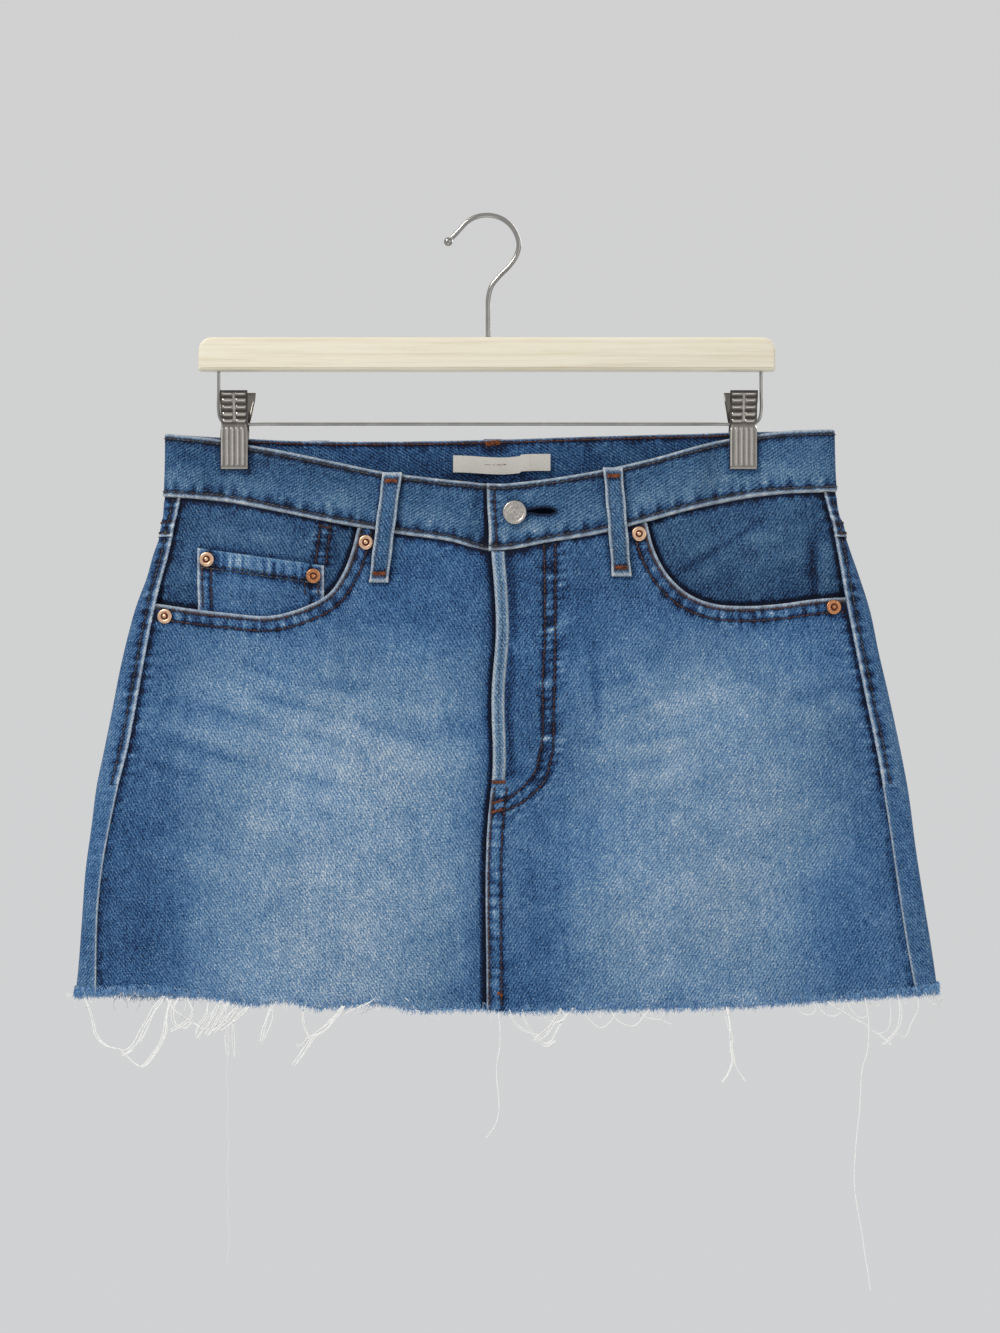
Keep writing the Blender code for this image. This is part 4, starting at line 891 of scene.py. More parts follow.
# back patch pockets: plain, five-sided
def patch_pocket(name, right):
    POCKET_TOP, POCKET_LOW, POINT = -268.0, -392.0, 16.0
    m = spread(142.0, first=(0, 0.3, 0.9, 1.8, 3.0), last=(3.0, 1.8, 0.9, 0.3, 0.0), step=2.4)
    qa, qb = (1.5, 1.92) if right else (2.5, 2.08)
    rows = spread(130.0, first=(0, 0.3, 0.9, 1.8, 3.0), last=(3.0, 1.8, 0.9, 0.3, 0.0), step=2.4)
    qc = qa + (qb - qa) * m
    q = np.repeat(qc[:, None], len(rows), 1)
    point = POINT * np.maximum(0.0, 1.0 - np.abs(np.abs(qc - 2.0) - 0.29) / 0.21)
    zz = POCKET_TOP + (POCKET_LOW - point - POCKET_TOP)[:, None] * rows[None]
    s = surface(q, zz)
    x = s[..., 0]
    base = ridge(x, zz, BACK_FOLDS)
    w = np.abs(x - x[:1]), np.abs(x - x[-1:])
    slope = math.cos(math.atan(16.0 / 71.0))
    de = np.minimum(np.minimum(*w), np.abs(zz - zz[:, -1:]) * slope)
    dt = np.abs(zz - zz[:, :1])
    d = base + 1.5 + 0.5 * (1 - smooth(10.0, 11.5, dt)) + rope(x + zz, de, 5.0, 9.0, 0.10) + 0.8 * gauss(dt, 0, 18) * smooth(8, 40, de)
    edge = np.minimum(de, dt)
    d_out = d - roll(edge, 1.2)
    d_in = base + 0.3 + 0.25 * roll(edge, 1.2) + 0.8 * gauss(dt, 0, 18) * smooth(8, 40, de)
    attrs = dict(de=np.minimum(de, np.where(dt < 7, 99, dt)), wash_and_shade=fade_back(x, zz) + 0.04 + 0.10 * gauss(edge, 0, 1.6),
                 pk=pucker(x - zz, de - 5.0, 6.0, 7.0, 0.8))
    ob = shell(name, q, zz, d_out, d_in, [M_TRIM, M_INSIDE], attrs, cad=(name,))
    return q, zz, d_out


pp_l = patch_pocket("back_pocket_left", False)
pp_r = patch_pocket("back_pocket_right", True)

# ------------------------------------------------------------------ waistband
x1 = np.r_[-1.0, -0.7, -0.3, 0.4, 1.4, 2.8, 4.6, np.arange(6.4, 206.0, 2.0)]
q_fr = q_front(x1, Z_BAND)
q_fold = np.linspace(q_fr[-1], 1.0, 9)[1:-1]
x2 = np.arange(206.0, -194.0, -2.2)
q_bk = q_back(x2, Z_BAND)
q_fold2 = np.linspace(1.0, q_bk[0], 9)[:-1]
q_fold3 = np.linspace(q_bk[-1], 3.0, 9)[1:-1]
x3 = np.r_[np.arange(-192.0, -7.0, 2.0), np.arange(-6.4, -0.4, 0.5), np.arange(0.0, 36.5, 2.0), 37.2, 37.8, 38.0]
q_lf = 4.0 + q_front(x3, Z_BAND)
q_fold4 = np.linspace(3.0, q_lf[0], 9)[:-1]
qs = np.concatenate([q_fr, q_fold, q_fold2, q_bk, q_fold3, q_fold4, q_lf])


def band_edges(q):
    top = np.full_like(q, Z_BAND)
    low = np.full_like(q, Z_BAND)
    front = np.cos(q * math.pi / 2) > 0
    for _ in range(4):
        xt, xl = surface(q, top)[..., 0], surface(q, low)[..., 0]
        top = np.where(front, band_top_f(xt), band_top_b(xt))
        low = np.where(front, band_low_f(xl), band_low_b(xl))
    return top, low


BAND_FOLDS = [(3, -170, 13, -177, 1.6, 0.4), (3, -176, 11, -180, 1.6, 0.4), (3, -188, 12, -185, 1.6, 0.4), (4, -197, 14, -189, 1.8, 0.4),
              (20, -189, 34, -196, 2.4, 0.35), (20, -175, 30, -168, 2.4, 0.3)]


def band_layer(q, z, top, low):
    x = surface(q, z)[..., 0]
    front = np.cos(q * math.pi / 2) > 0
    lap = (q > 3.5)
    d = np.where(lap, -UNDERLAP * smooth(-12.5, -3.5, x), 0.0)
    dt, dl = top - z, z - low
    calm = smooth(12.0, 22.0, np.minimum(np.abs(x - CLIP_X[0]), np.abs(x - CLIP_X[1])))
    d = d + calm * (rope(x, dl - 3.0, 5.0, 7.5, 0.20) + rope(x + 30, dt - 2.0, 4.5, 9.0, 0.10))
    d = d + calm * 0.35 * np.exp(-((dl - 1.2) / 1.6) ** 2)
    d = d + np.where(front, 1.0, 0.7) * calm * (0.5 * np.sin(x / 19.0 + z / 14.0) + 0.3 * np.sin(x / 9.0 - z / 11.0)) * 0.5
    # drag lines out of the button
    for x0, z0, x1, z1, w, h in BAND_FOLDS:
        d = d + np.where(q < 1.0, 1.0, 0.0) * ridge(x, z, [(x0, z0, x1, z1, w, h)])
    return d, dt, dl, x


top, low = band_edges(qs)
rows = np.r_[0, 0.008, 0.022, 0.045, 0.075, np.linspace(0.11, 0.89, 15), 0.925, 0.955, 0.978, 0.992, 1.0]
zz = top[:, None] + (low - top)[:, None] * rows[None]
q = np.repeat(qs[:, None], len(rows), 1)
d, dt, dl, x = band_layer(q, zz, top[:, None], low[:, None])
dend = np.where((q < 1.0), np.abs(x - surface(q[:1], zz[:1])[..., 0]), np.abs(x - 38.0) + 30)
edge = np.minimum(np.minimum(dt, dl), np.where(q < 1, dend, np.where(q > 3.5, np.abs(x - 38.3), 99)))
wash_and_shade = np.where(np.cos(q * math.pi / 2) > 0, 0.385, 0.36) + 0.05 * gauss(x, -40, 50) + 0.07 * gauss(x, 110, 70) + 0.05 * gauss(x, 20, 20)
# the dark strips beside the belt loops are painted shadow
wash_and_shade = wash_and_shade + 0.06 * smooth(120, 150, x) - 0.22 * np.where(np.cos(q * math.pi / 2) > 0, loop_shade(x, zz, False), loop_shade(x, zz, True))
wash_and_shade = wash_and_shade + 0.10 * gauss(dl, 12.0, 6.0) * (0.4 + 0.6 * np.sin(x / 17.0) ** 2) - 0.05 * gauss(dt, 9.0, 6.0)
# painted shadow: the band's under-lap turns dark where the band's end laps over it
wash_and_shade = wash_and_shade - np.where(q > 3.5, 0.6 * smooth(-3.4, -2.0, x) + 0.08 * smooth(-14.0, -4.0, x), 0.0)
wash_and_shade = wash_and_shade + np.where(q < 1.0, 0.55 * ridge(x, zz, BAND_FOLDS), 0.0)
# a dark disc round the button, which is painted shade, and a darker patch round the buttonhole
wash_and_shade = wash_and_shade - np.where(q < 1.0, 0.16 * np.exp(-(np.hypot(x - 16.2, zz + 182.3) / 10.0) ** 6) + 0.20 * np.exp(-(((x - 32) / 12.0) ** 4 + ((zz + 181.6) / 4.0) ** 4)), 0.0)
wash_and_shade = wash_and_shade - 0.10 * np.exp(-((dl - 5.0) / 2.6) ** 2)
d_out = BAND_OUT + d - roll(edge, 1.25)
d_in = BAND_IN + np.where(q > 3.5, -UNDERLAP * smooth(-12.5, -3.5, x), 0.0) + roll(edge, 1.25)
band_pk = pucker(x, dl - 4.0, 6.0, 10.0, 0.5) + 0.8 * pucker(x, dt - 2.0, 3.2, 4.2, 1.5) + np.where(q < 1.0, pucker(zz, dend - 3.0, 4.0, 5.0, 0.2), 0.0)
# inside of the back band: a darker patch round the inside bartack of the centre loop and a darker strip just under the
# label, both painted shade
inside_wash_and_shade = 0.37 + 0.04 * np.sin(x / 23.0) - 0.24 * np.exp(-(((x - 3.0) / 8.0) ** 4 + ((zz + 141.0) / 4.5) ** 4)) \
    - 0.20 * np.exp(-(((x - 8.0) / 34.0) ** 6 + ((zz + 160.5) / 3.4) ** 4))
attrs = dict(wash_and_shade=wash_and_shade, inside_wash_and_shade=inside_wash_and_shade, dlow=dl, dtop=dt, dend=np.where(q < 1.0, dend, 99.0), pk=band_pk)
# painted shade on the band round each clip, reaching about 2 mm past its jaws
for cx_ in CLIP_X:
    attrs["wash_and_shade"] = attrs["wash_and_shade"] - 0.20 * np.exp(-(np.abs(x - cx_) / 10.6) ** 12) * (zz > -158.5)
# a darker strip 1.5 to 5 mm under the top edge, round the stitch row: partly the strip's own tone, partly painted shade
attrs["wash_and_shade"] = attrs["wash_and_shade"] - 0.15 * smooth(1.5, 2.2, dt) * (1 - smooth(4.2, 5.2, dt))
band = shell("waistband", q, zz, d_out, d_in, [M_BAND, M_BAND_IN], attrs, cad=("waistband",))


# ------------------------------------------------------------------ pocket facings and the coin pocket
def facing_depth(x, z, right):
    line = mouth_r if right else mouth_l
    f = Curve(POCKET_R if right else POCKET_L)
    inside = (z > f(x)) & ((x > 97.0) if right else (x < -80.0))
    rise = np.where(inside, smooth(3.0, 17.0, line_distance(x, z, line)), 0.0)
    return -3.1 + 2.8 * rise


FACING_LOW_L = Curve([(-205, -256), (-160, -262), (-130, -262), (-108, -258), (-92, -252), (-80, -246), (-70, -240)])
FACING_LOW_R = Curve([(88, -238), (98, -246), (112, -254), (140, -258), (180, -256), (222, -252)])
# soft folds of the hip in the pocket mouth
FACING_FOLDS_R = [(196, -222, 206, -178, 4.5, -0.9), (120, -206, 176, -198, 5.0, 0.6), (150, -226, 200, -206, 5.0, 0.5)]
FACING_FOLDS_L = [(-118, -196, -184, -190, 6.0, 0.5), (-190, -214, -184, -182, 4.0, -0.5)]


FACING_STREAKS_R = [(108, -224, 170, -186, 2.2, -0.16), (112, -230, 150, -206, 3.0, 0.06), (200, -236, 198, -196, 3.0, -0.22), (206, -232, 207, -200, 3.0, 0.10),
                    (150, -200, 200, -188, 4.0, 0.05), (130, -228, 190, -214, 4.0, -0.05)]
FACING_STREAKS_L = [(-110, -194, -150, -190, 3.0, -0.08), (-112, -202, -104, -192, 1.6, 0.14), (-186, -232, -184, -196, 2.0, 0.08), (-150, -200, -176, -196, 4.0, 0.05)]


def facing(name, right):
    n = 76
    t = spread(130.0, first=(0, 0.5, 1.5, 3.0), step=1.9)
    rows = spread(80.0, first=(0, 0.5, 1.2, 2.4), step=1.9)
    q = np.empty((len(t), len(rows)))
    zz = np.empty_like(q)
    for i, s in enumerate(t):
        def px(z):
            a = seam_r(z) + 0.8 if right else seam_l(z) - 0.8
            b = 88.0 if right else -70.0
            return a + (b - a) * s
        xr = float(px(-205.0))
        top = -172.0
        for _ in range(4):
            top = float(band_low_f(px(top))) + 0.4
        low = float((FACING_LOW_R if right else FACING_LOW_L)(xr))
        zz[i] = top + (low - top) * rows
        q[i] = q_front(px(zz[i]), zz[i])
    x = surface(q, zz)[..., 0]
    line = mouth_r if right else mouth_l
    f = Curve(POCKET_R if right else POCKET_L)
    d = facing_depth(x, zz, right) + ridge(x, zz, FACING_FOLDS_R if right else FACING_FOLDS_L)
    dp = line_distance(x, zz, line)
    side = (seam_r(zz) - x) if right else (x - seam_l(zz))
    dw = band_low_f(x) - zz
    d = d - 0.5 * (1 - smooth(0.0, 4.0, side)) - 0.4 * (1 - smooth(0, 4, dw))
    wash_and_shade = (0.37 if right else 0.35) - 0.16 * (1 - smooth(0.5, 5.0, dp)) - 0.12 * (1 - smooth(0, 5, side)) - 0.12 * (1 - smooth(0, 5, dw)) \
        + 0.10 * ridge(x, zz, FACING_FOLDS_R if right else FACING_FOLDS_L) + 0.06 * gauss(x, -140, 30)
    # the dark discs round the rivets are painted shade
    wash_and_shade = wash_and_shade + streaks(x, zz, FACING_STREAKS_R if right else FACING_STREAKS_L) - 0.16 * rivet_shade_discs(x, zz)
    dg = np.full_like(x, 99.0)
    if not right:
        k = np.clip((zz + 189.4) / -24.6, 0, 1)
        l1, l2 = -102.2 - 3.3 * k, -96.0 - 3.1 * k
        dg = np.minimum(np.abs(x - l1), np.abs(x - l2)) + 90.0 * (zz < -216.0)
        # painted shadow: a dark line on the facing just above the coin pocket's top edge
        wash_and_shade = wash_and_shade - 0.20 * gauss(zz, -203.8 - 10.9 * (x + 176.9) / 77.8 + 1.2, 1.5) * smooth(-180, -176, x) * (1 - smooth(-101, -98, x))
    pk = np.where(dg < 50, pucker(zz, dg, 4.5, 4.0, 0.5), 0.0) + 0.7 * pucker(zz, side, 5.0, 8.0, 1.0) + 0.7 * pucker(x, dw, 4.0, 9.0, 2.0)
    attrs = dict(wash_and_shade=wash_and_shade, dp=dp, ds=side, dw=dw, dg=dg, pk=pk)
    ob = shell(name, q, zz, d, d - 1.2, [M_FACING, M_INSIDE], attrs, cad=(name,))


facing("pocket_facing_left", False)
facing("pocket_facing_right", True)


def coin_top(x):
    return -203.8 - 10.9 * (x + 176.9) / 77.8


def coin_offset(x, z):
    return facing_depth(x, z, False) + ridge(x, z, FACING_FOLDS_L) + 1.5


cx = np.r_[-177.6, -177.2, -176.6, -175.6, np.linspace(-174.4, -103.8, 38), -102.4, -101.2, -100.6, -100.2]
rows = np.r_[0, 0.01, 0.03, 0.06, np.linspace(0.1, 1, 22)]
low = np.full_like(cx, -249.5)
zz = coin_top(cx)[:, None] + (low - coin_top(cx))[:, None] * rows[None]
x = np.repeat(cx[:, None], len(rows), 1) + np.where(cx[:, None] > -140, 1, 0) * 0
q = q_front(x, zz)
dt = coin_top(x) - zz
dside = np.minimum(np.abs(x + 177.8), np.abs(x + 100.0))
edge = np.minimum(dt, dside)
base = coin_offset(x, zz)
d_out = base + 0.5 * (1 - smooth(10.5, 12.0, dt)) - roll(edge, 1.0) + 0.25 * np.sin(x / 7.0) * smooth(0, 6, dt)
dpock = line_distance(x, zz, mouth_l)
wash_and_shade = 0.38 + 0.16 * gauss(edge, 0.2, 1.3) + 0.08 * gauss(dt, 6.0, 4.0) - 0.2 * gauss(dt, 12.5, 2.0) + 0.12 * gauss(x, -150, 20) - 0.14 * (1 - smooth(0.5, 5.0, dpock))
# the dark discs round the rivets are painted shade
wash_and_shade = wash_and_shade - 0.16 * rivet_shade_discs(x, zz) - 0.22 * gauss(x, -163.5, 3.4) * gauss(dt, 6.5, 4.5) - 0.18 * gauss(x, -115.5, 3.2) * gauss(dt, 6.5, 4.5)
wash_and_shade = wash_and_shade - 0.12 * gauss(x, -146, 2.6) * gauss(dt, 6.0, 3.6) - 0.12 * gauss(x, -130, 2.4) * gauss(dt, 6.0, 3.6) + 0.08 * gauss(x, -154, 3.4) * gauss(dt, 5.0, 4.0)
attrs = dict(wash_and_shade=wash_and_shade, de=dside, dh=np.abs(dt - 10.4),
             pk=1.3 * pucker(x, dt - 6.0, 5.5, 5.6, 1.2) + pucker(zz, dside - 4.5, 5.0, 5.0, 2.2))
coin = shell("coin_pocket", q, zz, d_out, base - 1.1, [M_COIN, M_INSIDE], attrs, cad=("coin_pocket",))

# ------------------------------------------------------------------ fly edge
zf = np.r_[-206.0, -206.4, -207.2, -208.5, np.arange(-210.5, -342.0, -2.0), -343.6, -344.6, -345.2]
tf = np.r_[-0.2, 0.15, 0.6, 1.2, 2.0, 2.8, 3.9, 5.0, 5.8, 6.6, 7.2, 7.6, 7.9]
q = np.empty((len(tf), len(zf)))
zz = np.repeat(zf[None], len(tf), 0)
x = fly_x(zz) + tf[:, None]
q = q_front(x, zz)
d_base, _ = front_layer(x, zz, True)
across = tf[:, None] / 7.7
profile = 1.55 * np.clip(np.sin(np.clip(across, 0.0, 1.0) * math.pi), 0, 1) ** 0.42
profile = profile - 0.28 * gauss(tf[:, None], 3.9, 0.9)
puck = 0.12 * np.sin(zz / 1.9) + 0.10 * np.sin(zz / 4.3 + 1)
ends = np.minimum(np.abs(zz - zf[0]), np.abs(zz - zf[-1]))
d_out = d_base + (profile + puck * (profile > 0.4)) * (0.3 + 0.7 * smooth(0, 1.6, ends))
attrs = dict(wash_and_shade=0.47 + 0.03 * gauss(tf[:, None], 1.0, 1.2) + 0.03 * gauss(tf[:, None], 6.9, 1.0) - 0.03 * gauss(tf[:, None], 3.9, 1.0)
             - 0.25 * (tf[:, None] > 7.4) + 0 * zz, de=np.minimum(tf[:, None], 7.8 - tf[:, None]) + 0 * zz)
fe = shell("fly_edge", q, zz, d_out, d_base - 0.2, [M_FLY, M_INSIDE], attrs, cad=("fly_edge",))


# ------------------------------------------------------------------ belt loops
def belt_loop(name, top, low, back=False, seed=0.0):
    to_q = q_back if back else q_front
    half = 5.9
    tx = np.r_[-1, -0.975, -0.93, -0.86, -0.74, np.linspace(-0.6, 0.6, 9), 0.74, 0.86, 0.93, 0.975, 1]
    length = math.hypot(low[0] - top[0], low[1] - top[1])
    tz = np.r_[0, 0.4, 1.0, 2.0, np.linspace(3.2, length - 3.2, 46), length - 2.0, length - 1.0, length - 0.4, length] / length
    zz = top[1] + (low[1] - top[1]) * tz[None] + 0 * tx[:, None]
    xm = top[0] + (low[0] - top[0]) * tz[None]
    wobble = 0.18 * np.sin(tz[None] * 19 + seed) * np.sign(tx[:, None])
    x = xm + (tx[:, None] * half + wobble * np.abs(tx[:, None])) * (-1 if back else 1)
    q = to_q(x, zz)
    lift = (BAND_OUT + 0.45) * (1 - smooth(0.62, 0.86, tz)) + 0.55 * smooth(0.62, 0.86, tz)
    lift = lift + 1.3 * np.sin(math.pi * np.clip(tz, 0, 1)) ** 0.8
    lift = lift[None] + 0 * tx[:, None]
    edge = np.minimum((1 - np.abs(tx))[:, None] * half, np.minimum(tz, 1 - tz)[None] * length)
    groove = 0.20 * np.exp(-(((1 - np.abs(tx)) * half - 2.2) / 0.7) ** 2)[:, None]
    d_out = lift + 1.75 - roll(edge, 0.95) - groove + 0.12 * np.sin(zz / 2.1 + seed) * gauss((1 - np.abs(tx))[:, None] * half, 0.8, 1.2)
    d_in = lift + 0.1 + 0.5 * roll(edge, 0.9)
    d_in = np.where((tz[None] < 0.06) | (tz[None] > 0.94), lift - 0.35, d_in)
    side = (1 - np.abs(tx))[:, None] * half + 0 * zz
    ends = np.minimum(tz, 1 - tz)[None] * length
    # a dark band across each end of the loop, round the bartack, is painted shade
    wash_and_shade = 0.37 + 0.06 * gauss(side, 0.3, 1.0) - 0.09 * gauss(side, 2.5, 0.8) - 0.36 * np.exp(-((ends - 5.4) / 2.5) ** 4) * smooth(0.9, 1.5, side) + 0.04 * gauss(ends, 34, 20)
    ob = shell(name, q, zz, d_out, d_in, [M_LOOP, M_INSIDE], dict(wash_and_shade=wash_and_shade, de=side, dh=ends + 0 * side), cad=(name,))
    return lambda s, t: at(to_q(top[0] + (low[0] - top[0]) * t + s * half * (-1 if back else 1), top[1] + (low[1] - top[1]) * t),
                           top[1] + (low[1] - top[1]) * t,
                           (BAND_OUT + 0.45) * (1 - smooth(0.62, 0.86, t)) + 0.55 * smooth(0.62, 0.86, t)
                           + 1.3 * np.sin(math.pi * np.clip(t, 0, 1)) ** 0.8 + 1.75)


LOOPS = {"belt_loop_front_left": ((-58.4, -157.6), (-66.7, -225.0), False),
         "belt_loop_front_right": ((76.1, -154.6), (81.5, -221.2), False),
         "belt_loop_back_left": ((-104.0, -136.6), (-106.0, -203.0), True),
         "belt_loop_back_right": ((110.0, -132.8), (112.0, -200.0), True),
         "belt_loop_back_centre": ((3.0, -135.6), (3.0, -202.0), True)}
loop_face = {k: belt_loop(k, *v, seed=i * 1.7) for i, (k, v) in enumerate(LOOPS.items())}


# ------------------------------------------------------------------ tubes: stitches, threads and fibres
def tubes(name, paths, radii, mat, slot, sides=4, cad=(), along=None):
    """Many thin closed tubes in one mesh. Each path is an array of points, each radius a number or one per point."""
    vs, fs, base = [], [], 0
    ang = np.arange(sides) * 2 * math.pi / sides
    ca, sa = np.cos(ang), np.sin(ang)
    for p, r in zip(paths, radii):
        p = np.asarray(p, float)
        k = len(p)
        r = np.broadcast_to(np.asarray(r, float), (k,))
        t = np.gradient(p, axis=0)
        t = t / np.maximum(np.linalg.norm(t, axis=1, keepdims=True), 1e-9)
        ref = np.array([0.0, 1.0, 0.0]) if abs(t[:, 1]).mean() < 0.8 else np.array([1.0, 0.0, 0.0])
        b = np.cross(t, ref)
        b = b / np.maximum(np.linalg.norm(b, axis=1, keepdims=True), 1e-9)
        n = np.cross(b, t)
        ring = p[:, None] + r[:, None, None] * (b[:, None] * ca[None, :, None] + n[:, None] * sa[None, :, None])
        vs.append(ring.reshape(-1, 3))
        idx = base + np.arange(k * sides).reshape(k, sides)
        nxt = np.roll(idx, -1, axis=1)
        fs.extend(np.stack([idx[:-1], nxt[:-1], nxt[1:], idx[1:]], -1).reshape(-1, 4).tolist())
        fs.append(idx[0][::-1].tolist())
        fs.append(idx[-1].tolist())
        base += k * sides
    return build(name, np.concatenate(vs), fs, [mat], cad=cad, sharp=80)


class Stitches:
    def __init__(self, gain=1.5):
        self.paths, self.radii, self.gain = [], [], gain

    def run(self, pts, normals, pitch=3.0, gap=0.5, r=0.30, rise=0.24):
        """A row of stitches along a dense path on the cloth."""
        seg = np.linalg.norm(np.diff(pts, axis=0), axis=1)
        s = np.r_[0, np.cumsum(seg)]
        count = int(s[-1] / pitch)
        if count < 1:
            return
        real = s[-1] / count
        for k in range(count):
            a, b = k * real + gap / 2, (k + 1) * real - gap / 2
            t = np.array([0, 0.22, 0.5, 0.78, 1.0])
            at_s = a + (b - a) * t
            p = np.stack([np.interp(at_s, s, pts[:, i]) for i in range(3)], -1)
            n = np.stack([np.interp(at_s, s, normals[:, i]) for i in range(3)], -1)
            h = np.array([-0.22, 0.12, 0.20, 0.12, -0.22]) * (rise / 0.20)
            self.paths.append(p + n * h[:, None])
            self.radii.append(np.array([0.55, 0.95, 1.0, 0.95, 0.55]) * r * self.gain)

    def bar(self, a, b, normal_v, width=1.7, r=0.26, rise=0.25):
        """A bartack from a to b: close stitches across it."""
        a, b = np.asarray(a, float), np.asarray(b, float)
        n = np.asarray(normal_v, float)
        length = np.linalg.norm(b - a)
        u = (b - a) / length
        w = np.cross(n, u)
        count = max(3, int(length / 0.5))
        for k in range(count):
            c = a + u * (k + 0.5) * length / count
            lean = 0.18 * (1 if k % 2 else -1)
            e0, e1 = c - w * width / 2 - u * lean, c + w * width / 2 + u * lean
            t = np.array([0, 0.25, 0.5, 0.75, 1.0])[:, None]
            p = e0 + (e1 - e0) * t + n * (np.array([-0.15, 0.7, 1.0, 0.7, -0.15])[:, None] * rise)
            self.paths.append(p)
            self.radii.append(np.full(5, r))


brown, orange, tonal, chain = Stitches(1.85), Stitches(), Stitches(1.6), Stitches(1.3)


def front_path(pts, right=True, extra=0.0, layer=None):
    """Points (x, z) laid on a front panel's surface."""
    pts = np.asarray(pts, float)
    x, z = pts[:, 0], pts[:, 1]
    d = front_layer(x, z, right)[0] if layer is None else layer(x, z)
    qq = q_front(x, z)
    return at(qq, z, d + extra), normal(qq, z)


def offset_line(line, dist):
    t = np.gradient(line, axis=0)
    t = t / np.linalg.norm(t, axis=1, keepdims=True)
    return line + np.stack([t[:, 1], -t[:, 0]], -1) * dist


# pocket mouths: two rows each, below the mouth
for right in (False, True):
    line = dense(POCKET_R if right else POCKET_L, 0.8)
    for dist in (2.6, 9.0):
        off = offset_line(line, dist if not right else -dist)
        keep = off[:, 1] < band_low_f(off[:, 0]) - 0.5
        keep &= (off[:, 0] < seam_r(off[:, 1]) - 2.0) if right else (off[:, 0] > seam_l(off[:, 1]) + 2.0)
        brown.run(*front_path(off[keep], right), r=0.30)
# fly: J-shaped rows
for pts in (J_OUT, J_IN):
    line = dense(pts, 0.8)
    line = line[line[:, 1] < band_low_f(line[:, 0]) - 0.6]
    brown.run(*front_path(line, True), r=0.29)
# centre seam below the fly
zc = np.arange(-349.0, -482.0, -0.8)
for off in (2.0, 9.4):
    x = fly_x(zc) + off - 0.6 * smooth(-350, -480, zc)
    brown.run(*front_path(np.stack([x, zc], -1), True), r=0.28)
# waistband rows: lower and upper edges, inside and outside
top, low = band_edges(qs)
dq_all = np.linspace(qs[0], qs[-1], 1700)
bt, bl = band_edges(dq_all)
for edge_z, sign, dist in ((bl, 1, 3.3), (bt, -1, 3.0)):
    z = edge_z + sign * dist
    dd, _, _, xx = band_layer(dq_all, z, bt, bl)
    visible = ~((dq_all > 3.5) & (xx > -1.5))
    p, n = at(dq_all, z, BAND_OUT + dd), normal(dq_all, z)
    tonal.run(p[visible], n[visible], r=0.27)
    # the row shows orange-brown on the inside of the back
    inside = (dq_all > 1.06) & (dq_all < 2.94)
    zi = edge_z + sign * (2.0 if sign < 0 else dist)
    p, n = at(dq_all, zi, np.full_like(zi, BAND_IN)), -normal(dq_all, zi)
    (chain if sign < 0 else brown).run(p[inside], n[inside], r=0.32 if sign < 0 else 0.26, pitch=2.6, gap=0.2)
# the band's lapped end
zr = np.arange(-167.4, -204.0, -0.8)
xe = surface(q_front(-1.0, Z_BAND), zr)[..., 0] + 4.6
dd = band_layer(q_front(xe, zr), zr, band_top_f(xe), band_low_f(xe))[0]
brown.run(at(q_front(xe, zr), zr, BAND_OUT + dd), normal(q_front(xe, zr), zr), r=0.28)
# coin pocket: hem row and side rows
line = np.stack([np.linspace(-175.6, -103.6, 100), np.interp(np.linspace(-175.6, -103.6, 100), [-175.4, -111.6], [-215.4, -224.6])], -1)


def coin_face(x, z):
    return coin_offset(x, z) + 0.15


for down in (9.4, 11.5):
    tonal.run(*front_path(np.stack([np.linspace(-175.6, -103.0, 100), coin_top(np.linspace(-175.6, -103.0, 100)) - down], -1), False, 0.15, coin_face), r=0.25)
for xs in (-174.6, -169.0, -111.6, -103.8):
    z = np.arange(float(coin_top(xs)) - (1.5 if xs in (-175.3, -102.6) else 11.5), -240.0 if xs < -140 else -233.0, -0.8)
    brown.run(*front_path(np.stack([np.full_like(z, xs), z], -1), False, 0.15, coin_face), r=0.27)


def facing_face(x, z):
    return facing_depth(x, z, False) + ridge(x, z, FACING_FOLDS_L)


for xa, xb in ((-102.2, -105.5), (-96.0, -99.1)):
    z = np.arange(-189.4, -214.0, -0.8)
    x = xa + (xb - xa) * (z + 189.4) / -24.6
    z = z[z < band_low_f(x) - 0.5]
    x = xa + (xb - xa) * (z + 189.4) / -24.6
    brown.run(*front_path(np.stack([x, z], -1), False, 0.0, facing_face), r=0.27)


# side seams: one row on the back's side, down to where the topstitch ends; yoke and centre-back rows
def ring_path(qv, z, right, yoke, extra=0.0):
    d = back_layer(qv, z, right, yoke)[0]
    return at(qv, z, d + extra), normal(qv, z)


for right in (False, True):
    for z0, z1, yk in ((-173.0, YOKE_SIDE + 1.0, True), (YOKE_SIDE - 1.5, -349.0, False)):
        z = np.arange(z0, z1, -0.8)
        q0 = q_front(seam_r(z), z) if right else 4.0 + q_front(seam_l(z), z)
        sgn = 1 if right else -1
        qv = q0 + sgn * 0.0
        # walk outwards along the ring until 4.6 mm of cloth is passed
        for _ in range(30):
            ds = side_distance(qv, z, right)
            qv = np.where(ds < 4.7, qv + sgn * 0.004, qv)
        tonal.run(*ring_path(qv, z, right, yk, 0.0), r=0.27)
    parts_q = np.linspace(float(q_front(seam_r(-190.0), -190.0)) + 0.02, 1.985, 620) if right else \
        4.0 - np.linspace(-float(q_front(seam_l(-190.0), -190.0)) + 0.02, 1.985, 620)
    for up in (2.4, 8.6):
        z = yoke_z(parts_q) + up
        side_part = np.abs(parts_q - 2.0) > 1.0
        brown.run(*ring_path(parts_q, z, right, True), r=0.29)
z = np.arange(-178.5, -482.0, -0.8)
for off in (2.4, 8.8):
    xq = surface(np.full_like(z, 2.0), z)[..., 0] + off
    qv = q_back(xq, z)
    for a, b, yk in ((-178.0, YOKE_BACK + 3.0, True), (YOKE_BACK - 1.0, -481.5, False)):
        m = (z < a) & (z > b)
        brown.run(*ring_path(qv[m], z[m], True, yk), r=0.28)
